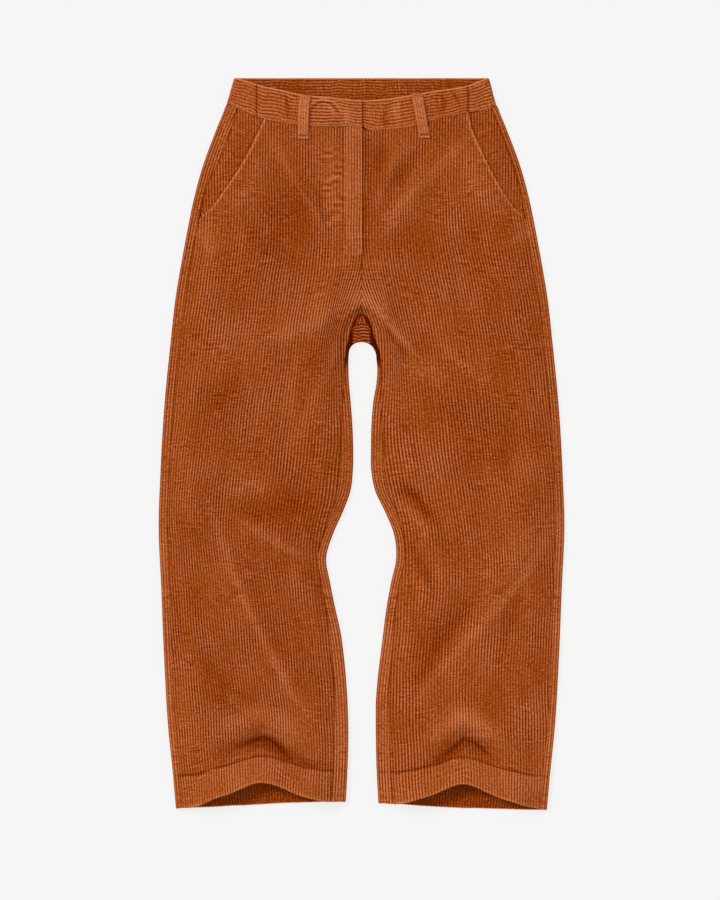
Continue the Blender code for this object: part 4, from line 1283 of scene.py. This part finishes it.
def back_band(material):
    """One strip, from the seam on the right front round both corners to the seam on the left front."""
    cloth = Cloth()
    share = np.linspace(0, 1, BAND_WALES * SAMPLES + 1)[:, None]
    right, left = band_half(RIGHT, share), band_half(LEFT, share)
    base, normals = (
        np.concatenate((one, other[:, -2::-1]), axis=1) for one, other in zip(right, left)
    )
    on_floor = 0.5 - 0.5 * normals[..., 2]
    lift, wear_and_shade, wale = band_relief(base[..., 0], share, 1 - on_floor)
    lift = lift * (1 - on_floor) - on_floor * wale_height() * (1 - pile(wale))
    along = np.cumsum(np.linalg.norm(np.diff(base[0], axis=0, prepend=base[0, :1]), axis=-1))
    to_seam = np.minimum(along, along[-1] - along)[None, :]
    lift, wear_and_shade = lift + groove(to_seam, *BAND_DIP), wear_and_shade + groove(to_seam, *BAND_SHADE)
    outer = base + normals * lift[..., None]
    depth = BAND_CLOTH + 0.5 * (pile(wale) - 0.6) * smooth((to_seam - 1) / 3)
    inner = base - normals * depth[..., None]
    slab(cloth, outer, inner, wale, along[None, :], wear_and_shade, (BAND_ROUND, 0.1, SEAM_ROUND, SEAM_ROUND), True)
    return cloth.build("waistband_back_cloth", material)


def belt_loop(side, material):
    """A strap over the band: both ends lie on the cloth and the middle stands off it."""
    cloth = Cloth()
    top_x, low_x, top_down, low_down = LOOPS[side]
    share = np.linspace(0, 1, 46)[:, None]
    across = np.linspace(-1, 1, LOOP_WALES * SAMPLES + 1)[None, :]
    curl = LOOP_CURL[side] * (1 - share) ** 3
    x = top_x + (low_x - top_x) * share + curl + across * LOOP_WIDTH / 2
    down = top_down + (low_down - top_down) * share + 0 * across
    proud = BAND_PROUD * smooth((curve(BAND_EDGES, 2, x) + 6 - down) / 6)
    bow = LOOP_BOW * smooth(share / 0.25) * smooth((0.9 - share) / 0.25)
    tacked = groove(share - 0.93, 0.5, 0.03) + groove(share - 0.05, 0.4, 0.03)
    base = proud + LAYER_GAP + bow
    rounded = 0.5 * smooth((np.abs(across) - 0.75) / 0.25)
    wale = (across + 1) * LOOP_WALES / 2
    lift = base + LOOP_CLOTH - rounded + tacked + wale_height() * 0.7 * (pile(wale + 0.5) - 0.5)
    surface = lapped if side == RIGHT else height
    outer, _ = on_face(surface, x, down, lift)
    inner, _ = on_face(surface, x, down, base)
    # painted shade in the tacks' grooves, which pull the loop in
    wear_and_shade = 0.6 + 0.35 * tacked + 0.3 * smooth((np.abs(across) - 0.8) / 0.2)
    wear_and_shade = wear_and_shade + 0.4 * smooth((share - 0.955) / 0.02) - 0.6 * (pile(wale + 0.5) - 0.6)
    slab(cloth, outer, inner, wale + 0.5, down, wear_and_shade, (0.8, 0.8, 0.9, 0.9))
    return cloth.build(f"belt_loop_{WORD[side]}_cloth", material)


# ---- nodes ----


def fill(tree, node, values):
    """Sets or links a node's sockets."""
    for socket, value in values.items():
        value = value.socket if isinstance(value, Signal) else value
        if isinstance(value, bpy.types.NodeSocket):
            tree.links.new(value, node.inputs[socket])
        else:
            node.inputs[socket].default_value = value


def add_node(tree, kind, settings, values, output=0):
    """Adds a node and gives one of its outputs. Its settings come first, then the values or links of
    its sockets."""
    made = tree.nodes.new(kind)
    for name, value in settings.items():
        setattr(made, name, value)
    fill(tree, made, values)
    return made.outputs[output]


class Signal:
    """A number that varies over a surface. Arithmetic on it adds Math nodes to its material."""

    def __init__(self, paint, socket):
        self.paint, self.socket = paint, socket

    def math(self, operation, *values):
        return self.paint.node("ShaderNodeMath", {"operation": operation}, dict(enumerate(values)))

    def __add__(self, other):
        return self.math("ADD", self, other)

    def __sub__(self, other):
        return self.math("SUBTRACT", self, other)

    def __rsub__(self, other):
        return self.math("SUBTRACT", other, self)

    def __mul__(self, other):
        return self.math("MULTIPLY", self, other)

    __radd__, __rmul__ = __add__, __mul__

    def cosine(self):
        return self.math("COSINE", self)

    def clamped(self):
        return self.paint.node("ShaderNodeClamp", {}, {"Value": self})


class Paint:
    """The nodes of a material."""

    def __init__(self, name):
        self.material = bpy.data.materials.new(name)
        self.material.use_nodes = True
        self.tree = self.material.node_tree

    def node(self, kind, settings, values, output=0):
        return Signal(self, add_node(self.tree, kind, settings, values, output))

    def place(self):
        """The place on the piece's object, in metres."""
        return self.node("ShaderNodeTexCoord", {}, {}, "Object")

    def noise(self, where, scale, detail=2.0, roughness=0.5):
        settings = {"Vector": where, "Scale": scale, "Detail": detail, "Roughness": roughness}
        return self.node("ShaderNodeTexNoise", {}, settings)

    def mix(self, factor, first, second):
        """A mix of two colours. The node's sockets for colours are found by their numbers."""
        return self.node("ShaderNodeMix", {"data_type": "RGBA"}, {0: factor, 6: first, 7: second}, 2)

    def finish(self, **values):
        """Gives the finished material. Its shader's sockets are named with underscores for spaces."""
        values = {name.replace("_", " "): value for name, value in values.items()}
        fill(self.tree, self.tree.nodes["Principled BSDF"], values)
        return self.material


# ---- stitching ----


def stitch_tree():
    """Small stitches laid end to end along each line of a mesh. Gives the tree and the identifiers of
    its inputs."""
    tree = bpy.data.node_groups.new("Stitches along a seam", "GeometryNodeTree")
    inputs = {}
    for name, kind, value in (
        ("Seam", "NodeSocketGeometry", None),
        ("Spacing", "NodeSocketFloat", 0.0034),
        ("Stitch Length", "NodeSocketFloat", 0.0026),
        ("Thread Width", "NodeSocketFloat", 0.0007),
        ("Unevenness", "NodeSocketFloat", 0.1),
        ("Seed", "NodeSocketInt", 3),
        ("Thread", "NodeSocketMaterial", None),
    ):
        socket = tree.interface.new_socket(name, in_out="INPUT", socket_type=kind)
        if value is not None:
            socket.default_value = value
        inputs[name] = socket.identifier
    tree.interface.new_socket("Stitches", in_out="OUTPUT", socket_type="NodeSocketGeometry")
    given = tree.nodes.new("NodeGroupInput").outputs

    def node(kind, settings, values):
        return add_node(tree, kind, settings, values)

    thread = given["Thread Width"]
    seam = node("GeometryNodeMeshToCurve", {}, {"Mesh": given["Seam"]})
    resampled = {"Curve": seam, "Length": given["Spacing"]}
    points = node("GeometryNodeResampleCurve", {"mode": "LENGTH"}, resampled)
    spindle = node("GeometryNodeMeshUVSphere", {}, {"Segments": 6, "Rings": 4, "Radius": 0.5})
    tangent = node("GeometryNodeInputTangent", {}, {})
    turned = node("FunctionNodeAlignRotationToVector", {"axis": "X"}, {"Vector": tangent})
    size = node("ShaderNodeCombineXYZ", {}, {"X": given["Stitch Length"], "Y": thread, "Z": thread})
    low = node("ShaderNodeMath", {"operation": "SUBTRACT"}, {0: 1.0, 1: given["Unevenness"]})
    high = node("ShaderNodeMath", {"operation": "ADD"}, {0: 1.0, 1: given["Unevenness"]})
    span = {"Min": low, "Max": high, "Seed": given["Seed"]}
    uneven = node("FunctionNodeRandomValue", {"data_type": "FLOAT_VECTOR"}, span)
    size = node("ShaderNodeVectorMath", {"operation": "MULTIPLY"}, {0: size, 1: uneven})
    laid = {"Points": points, "Instance": spindle, "Rotation": turned, "Scale": size}
    stitches = node("GeometryNodeInstanceOnPoints", {}, laid)
    solid = node("GeometryNodeRealizeInstances", {}, {"Geometry": stitches})
    rounded = node("GeometryNodeSetShadeSmooth", {}, {"Geometry": solid})
    coloured = {"Geometry": rounded, "Material": given["Thread"]}
    output = tree.nodes.new("NodeGroupOutput")
    tree.links.new(node("GeometryNodeSetMaterial", {}, coloured), output.inputs[0])
    return tree, inputs


def stitched(name, lines, material, tree, inputs, spacing):
    """A piece of stitches along lines of points in millimetres."""
    points, edges = [], []
    for line in lines:
        first = len(points)
        points += [(x * MM, (LENGTH / 2 - down) * MM, z * MM) for x, down, z in line]
        edges += [(k, k + 1) for k in range(first, len(points) - 1)]
    mesh = bpy.data.meshes.new(name)
    mesh.from_pydata(points, edges, [])
    piece = bpy.data.objects.new(name, mesh)
    bpy.context.scene.collection.objects.link(piece)
    modifier = piece.modifiers.new("Stitches", "NODES")
    modifier.node_group = tree
    modifier[inputs["Spacing"]] = spacing
    modifier[inputs["Stitch Length"]] = sizes().stitch_length
    modifier[inputs["Thread Width"]] = sizes().thread_width
    modifier[inputs["Seed"]] = STITCH_SEED
    modifier[inputs["Thread"]] = material
    graph = bpy.context.evaluated_depsgraph_get()
    made = bpy.data.meshes.new_from_object(piece.evaluated_get(graph))
    made.name = name
    piece.modifiers.clear()
    piece.data = made
    if not made.materials:
        made.materials.append(material)
    return piece


def fly_lines():
    """The curved topstitch of the fly lap, and the tack where it ends."""
    table = np.array(FLY_STITCH, float)
    at = np.linspace(0, len(table) - 1, 200)
    steps = np.column_stack((np.arange(len(table)), table))
    x, down = curve(steps, 1, at), curve(steps, 2, at)
    seam, _ = on_face(lapped, x, down, 0.05)
    tack, _ = on_face(lapped, np.linspace(-7, -1, 8), np.linspace(236.5, 238.5, 8), 0.5)
    return [seam, tack, tack + (0.4, 0.9, 0)]


def hem_lines(side):
    """Along the top of the turned-up hem, over the front and underneath."""
    rows = HEM_FOLD + np.array((-6.0, 0.0, 6.0))
    near, far = (side * edge[1] for edge in (front_inner(side, rows)[0], front_outer(side, rows)))
    across = side * np.linspace(near + 1, far - 1, 160)
    front, _ = on_face(height, across, down_at(HEM_FOLD, across, 1), 0.05)
    x = side * np.linspace(near - 14, far + 4, 120)
    under = np.column_stack((x, down_at(HEM_FOLD, x, 0), 0 * x + 0.35))
    return [front, under]


def loop_lines(side):
    """Short tacks across the ends of a belt loop."""
    top_x, low_x, top_down, low_down = LOOPS[side]
    lines = []
    for share, lift in TACK_LIFT.items():
        middle = top_x + (low_x - top_x) * share + LOOP_CURL[side] * (1 - share) ** 3
        x = middle + np.linspace(-0.42, 0.42, 12) * LOOP_WIDTH
        down = top_down + (low_down - top_down) * share + 0 * x
        lines.append(on_face(lapped if side == RIGHT else height, x, down, lift)[0])
    return lines


# ---- materials ----


def corduroy_paint(name, shade=1.0):
    """Wales with a light top, partly worn pile and partly painted sheen, and a deep furrow painted dark as
    shade, crossed in places by fine creases, in a nap that lies in soft patches."""
    paint = Paint(name)
    wale = paint.node("ShaderNodeAttribute", {"attribute_name": "wale"}, {}, "Vector")
    across, along, wear_and_shade = (
        paint.node("ShaderNodeSeparateXYZ", {}, {0: wale}, index) for index in range(3)
    )
    where = paint.place()

    def woven(wales, length, detail=1.0):
        """Noise about 0, this many wales wide and this many millimetres long."""
        place = {0: across * (1 / wales), 1: along * (1 / length), 2: 0.0}
        return paint.noise(paint.node("ShaderNodeCombineXYZ", {}, place), 1.0, detail) - 0.5

    # painted light and shade: the wales' tops lighter, partly worn pile and partly painted sheen, and the
    # furrows darker as painted shade
    top = (across * (2 * math.pi)).cosine()
    strength = (woven(9, 60) * 2.4 + (paint.noise(where, 22.0) - 0.5) * 1.2 + 0.6).clamped()
    creased = (woven(12, 34) * 5.0 + 0.35).clamped()
    light = top * (strength * 0.27 + 0.11)
    light = light + woven(5, 2.0) * creased * 0.9 + woven(1.2, 2.2) * 0.85
    light = light + (paint.noise(where, 14.0, 3.0) - 0.5) * 0.3 + woven(3, 90) * 0.12
    nap = paint.noise(where, 900.0, 3.0, 0.65)
    # the wale attribute's third part adds wear and painted light and shade
    light = light + (nap - 0.5) * 0.6 + wear_and_shade * 0.5 + 0.47
    furrow, pile_tone, ridge = (
        (*(shade * part for part in tone), 1)
        for tone in (colours().furrow, colours().pile, colours().ridge)
    )
    colour = paint.mix((light * 2.0).clamped(), furrow, pile_tone)
    colour = paint.mix((light * 2.0 - 1.0).clamped(), colour, ridge)
    # painted shade: where light falls below zero, the colour darkens on towards the deepest painted shade
    colour = paint.mix((light * 0.9 + 1.0).clamped(), DEEPEST_SHADE, colour)
    uneven = {"Strength": 0.4, "Distance": 0.0006, "Height": nap + woven(1, 1.5)}
    bump = paint.node("ShaderNodeBump", {}, uneven)
    return paint.finish(Base_Color=colour, Roughness=0.98 - light * 0.08, Normal=bump, **MATT)


def thread_paint(name, colour):
    paint = Paint(name)
    twist = paint.node(
        "ShaderNodeTexWave",
        {"wave_type": "BANDS", "bands_direction": "DIAGONAL"},
        {"Vector": paint.place(), "Scale": 900.0, "Distortion": 1.0},
        "Fac",
    )
    shade = paint.mix(twist, (colour[0] * 0.7, colour[1] * 0.6, colour[2] * 0.6, 1), (*colour, 1))
    bump = paint.node("ShaderNodeBump", {}, {"Strength": 0.3, "Distance": 0.0002, "Height": twist})
    return paint.finish(Base_Color=shade, Roughness=0.8, Normal=bump, **MATT)


def finish_named(name):
    """A finish, made when it is first asked for."""
    if name in bpy.data.materials:
        return bpy.data.materials[name]
    if name == "Thread":
        return thread_paint(name, tuple(colours().thread))
    return corduroy_paint(name, INSIDE_SHADE if name == "Corduroy in painted shade" else 1.0)


# ---- what each piece is to the frame ----


def cloth_piece(piece, node):
    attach(piece, "root")
    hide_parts(node)
    return piece


# ---- settings ----


def length_property(name, description, default, low, high):
    return FloatProperty(
        name=name, description=description, default=default, min=low, max=high, unit="LENGTH"
    )


class TrousersSizes(bpy.types.PropertyGroup):
    wale_pitch: length_property(
        "Wale Pitch", "Distance from one raised wale to the next", 0.00385, 0.002, 0.006
    )
    wale_height: length_property(
        "Wale Height", "Height of a wale above the furrow beside it", 0.0009, 0.0003, 0.0014
    )
    stitch_length: length_property(
        "Stitch Length", "Length of one stitch of the topstitching", 0.0026, 0.001, 0.005
    )
    thread_width: length_property("Thread Width", "Width of the thread", 0.0007, 0.0003, 0.002)


def colour_property(name, description, default):
    return FloatVectorProperty(
        name=name, description=description, default=default, min=0, max=1, size=3, subtype="COLOR"
    )


class TrousersColours(bpy.types.PropertyGroup):
    # the worn pile colour is partly worn pile and partly painted sheen on the wales' tops
    ridge: colour_property("Worn Pile", "Colour of the worn tops of the wales", (0.58, 0.192, 0.076))
    pile: colour_property("Pile", "Colour of the pile", (0.325, 0.059, 0.005))
    # the furrow colour is painted shade between the wales
    furrow: colour_property("Furrow", "Colour between the wales", (0.14, 0.012, 0.0))
    thread: colour_property("Thread", "Colour of the sewing thread", (0.42, 0.11, 0.024))
    floor: colour_property("Floor", "Colour of the floor", (0.12, 0.12, 0.12))


# ---- operators ----


class TROUSERS_OT_fronts(bpy.types.Operator):
    """Make both fronts, the right one with the fly lap"""

    bl_idname = "trousers.fronts"
    bl_label = "Fronts"
    bl_options = {"REGISTER", "UNDO"}

    def execute(self, context):
        for side in (RIGHT, LEFT):
            piece = front_panel(side, finish_named("Corduroy"))
            cloth_piece(piece, f"front_{WORD[side]}")
        return {"FINISHED"}


class TROUSERS_OT_backs(bpy.types.Operator):
    """Make both backs, each folded round the outline onto the front's side"""

    bl_idname = "trousers.backs"
    bl_label = "Backs"
    bl_options = {"REGISTER", "UNDO"}

    def execute(self, context):
        for side in (RIGHT, LEFT):
            piece = back_panel(side, finish_named("Corduroy"))
            cloth_piece(piece, f"back_{WORD[side]}")
        return {"FINISHED"}


class TROUSERS_OT_pockets(bpy.types.Operator):
    """Make the facings under the slanted pockets and the shield behind the fly"""

    bl_idname = "trousers.pockets"
    bl_label = "Pocket Facings and Fly Shield"
    bl_options = {"REGISTER", "UNDO"}

    def execute(self, context):
        for side in (RIGHT, LEFT):
            piece = pocket_facing(side, finish_named("Corduroy"))
            node = f"pocket_facing_{WORD[side]}"
            cloth_piece(piece, node)
        piece = fly_shield(finish_named("Corduroy in painted shade"))
        cloth_piece(piece, "fly_shield")
        return {"FINISHED"}


class TROUSERS_OT_waistband(bpy.types.Operator):
    """Make the back waistband, both front waistbands and the belt loops"""

    bl_idname = "trousers.waistband"
    bl_label = "Waistband and Belt Loops"
    bl_options = {"REGISTER", "UNDO"}

    def execute(self, context):
        paint = finish_named("Corduroy")
        cloth_piece(back_band(paint), "waistband_back")
        for side, length in ((RIGHT, 0.147), (LEFT, 0.187)):
            word = WORD[side]
            piece = front_band(side, paint)
            cloth_piece(piece, f"waistband_front_{word}")
            piece = belt_loop(side, paint)
            node = f"belt_loop_{word}"
            cloth_piece(piece, node)
        return {"FINISHED"}


class TROUSERS_OT_stitching(bpy.types.Operator):
    """Make the stitching of the fly, the hems and the belt loops"""

    bl_idname = "trousers.stitching"
    bl_label = "Stitching"
    bl_options = {"REGISTER", "UNDO"}

    def execute(self, context):
        thread = finish_named("Thread")
        tree, inputs = stitch_tree()
        both = (RIGHT, LEFT)
        apart = sizes().stitch_length * STITCH_PITCH
        for name, lines, spacing in (
            ("stitching_fly", fly_lines(), apart),
            ("stitching_hems", sum((hem_lines(side) for side in both), []), apart),
            ("stitching_belt_loops", sum((loop_lines(side) for side in both), []), TACK_SPACING),
        ):
            piece = stitched(name, lines, thread, tree, inputs, spacing)
            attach(piece, "root")
        return {"FINISHED"}


class TROUSERS_OT_stage(bpy.types.Operator):
    """Make the floor, the lights and the camera"""

    bl_idname = "trousers.stage"
    bl_label = "Stage"
    bl_options = {"REGISTER", "UNDO"}

    def execute(self, context):
        scene = context.scene
        mesh = bpy.data.meshes.new("floor")
        corners = (-1, -1), (1, -1), (1, 1), (-1, 1)
        points = [(x * FLOOR_HALF, y * FLOOR_HALF, FLOOR_LEVEL) for x, y in corners]
        mesh.from_pydata(points, [], [(0, 1, 2, 3)])
        floor = bpy.data.objects.new("floor", mesh)
        scene.collection.objects.link(floor)
        paint = Paint("Pale floor")
        pale = (*colours().floor, 1)
        faint = (*(value * 0.995 for value in colours().floor), 1)
        colour = paint.mix(paint.noise(paint.place(), 3.0), faint, pale)
        glow = {"Emission_Color": pale, "Emission_Strength": FLOOR_GLOW}
        mesh.materials.append(paint.finish(Base_Color=colour, Roughness=0.95, **MATT, **glow))
        floor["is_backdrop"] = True

        world = bpy.data.worlds.new("Studio")
        world.use_nodes = True
        sky = world.node_tree.nodes["Background"]
        sky.inputs["Color"].default_value = (1, 1, 1, 1)
        sky.inputs["Strength"].default_value = SKY
        scene.world = world
        for name, travel, strength, angle in LIGHTS:
            light = bpy.data.lights.new(name, "SUN")
            light.energy, light.angle = strength, math.radians(angle)
            lamp = bpy.data.objects.new(name, light)
            lamp.rotation_euler = Vector(travel).to_track_quat("-Z", "Y").to_euler()
            scene.collection.objects.link(lamp)

        data = bpy.data.cameras.new("Camera")
        data.sensor_fit, data.sensor_height = "VERTICAL", 36.0
        data.lens = data.sensor_height * CAMERA_HEIGHT / VIEW_HEIGHT
        data.clip_end = 30.0
        camera = bpy.data.objects.new("Camera", data)
        camera.location = (*CAMERA_AIM, CAMERA_HEIGHT)
        scene.collection.objects.link(camera)
        scene.camera = camera
        scene.view_settings.view_transform = "Standard"
        return {"FINISHED"}


STEPS = (
    TROUSERS_OT_stage,
    TROUSERS_OT_backs,
    TROUSERS_OT_fronts,
    TROUSERS_OT_pockets,
    TROUSERS_OT_waistband,
    TROUSERS_OT_stitching,
)


class TROUSERS_PT_panel(bpy.types.Panel):
    """Sizes, colours and pieces of the trousers"""

    bl_idname = "TROUSERS_PT_panel"
    bl_label = "Trousers"
    bl_space_type = "VIEW_3D"
    bl_region_type = "UI"
    bl_category = "Trousers"

    def draw(self, context):
        for group in (context.scene.trousers_sizes, context.scene.trousers_colours):
            for name in group.__annotations__:
                self.layout.prop(group, name)
        for step in STEPS:
            self.layout.operator(step.bl_idname)


CLASSES = (TrousersSizes, TrousersColours, *STEPS, TROUSERS_PT_panel)


def register():
    for item in CLASSES:
        bpy.utils.register_class(item)
    bpy.types.Scene.trousers_sizes = PointerProperty(type=TrousersSizes)
    bpy.types.Scene.trousers_colours = PointerProperty(type=TrousersColours)


def unregister():
    del bpy.types.Scene.trousers_colours
    del bpy.types.Scene.trousers_sizes
    for item in reversed(CLASSES):
        bpy.utils.unregister_class(item)


def plain(value):
    """A box as plain lists of numbers."""
    return [plain(part) for part in value] if hasattr(value, "__len__") else float(value)


def main():
    register()
    for step in STEPS:
        group, name = step.bl_idname.split(".")
        getattr(getattr(bpy.ops, group), name)()
    {"cad": plain(CAD_BOX), "visual": plain(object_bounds())}


if __name__ == "__main__":
    main()
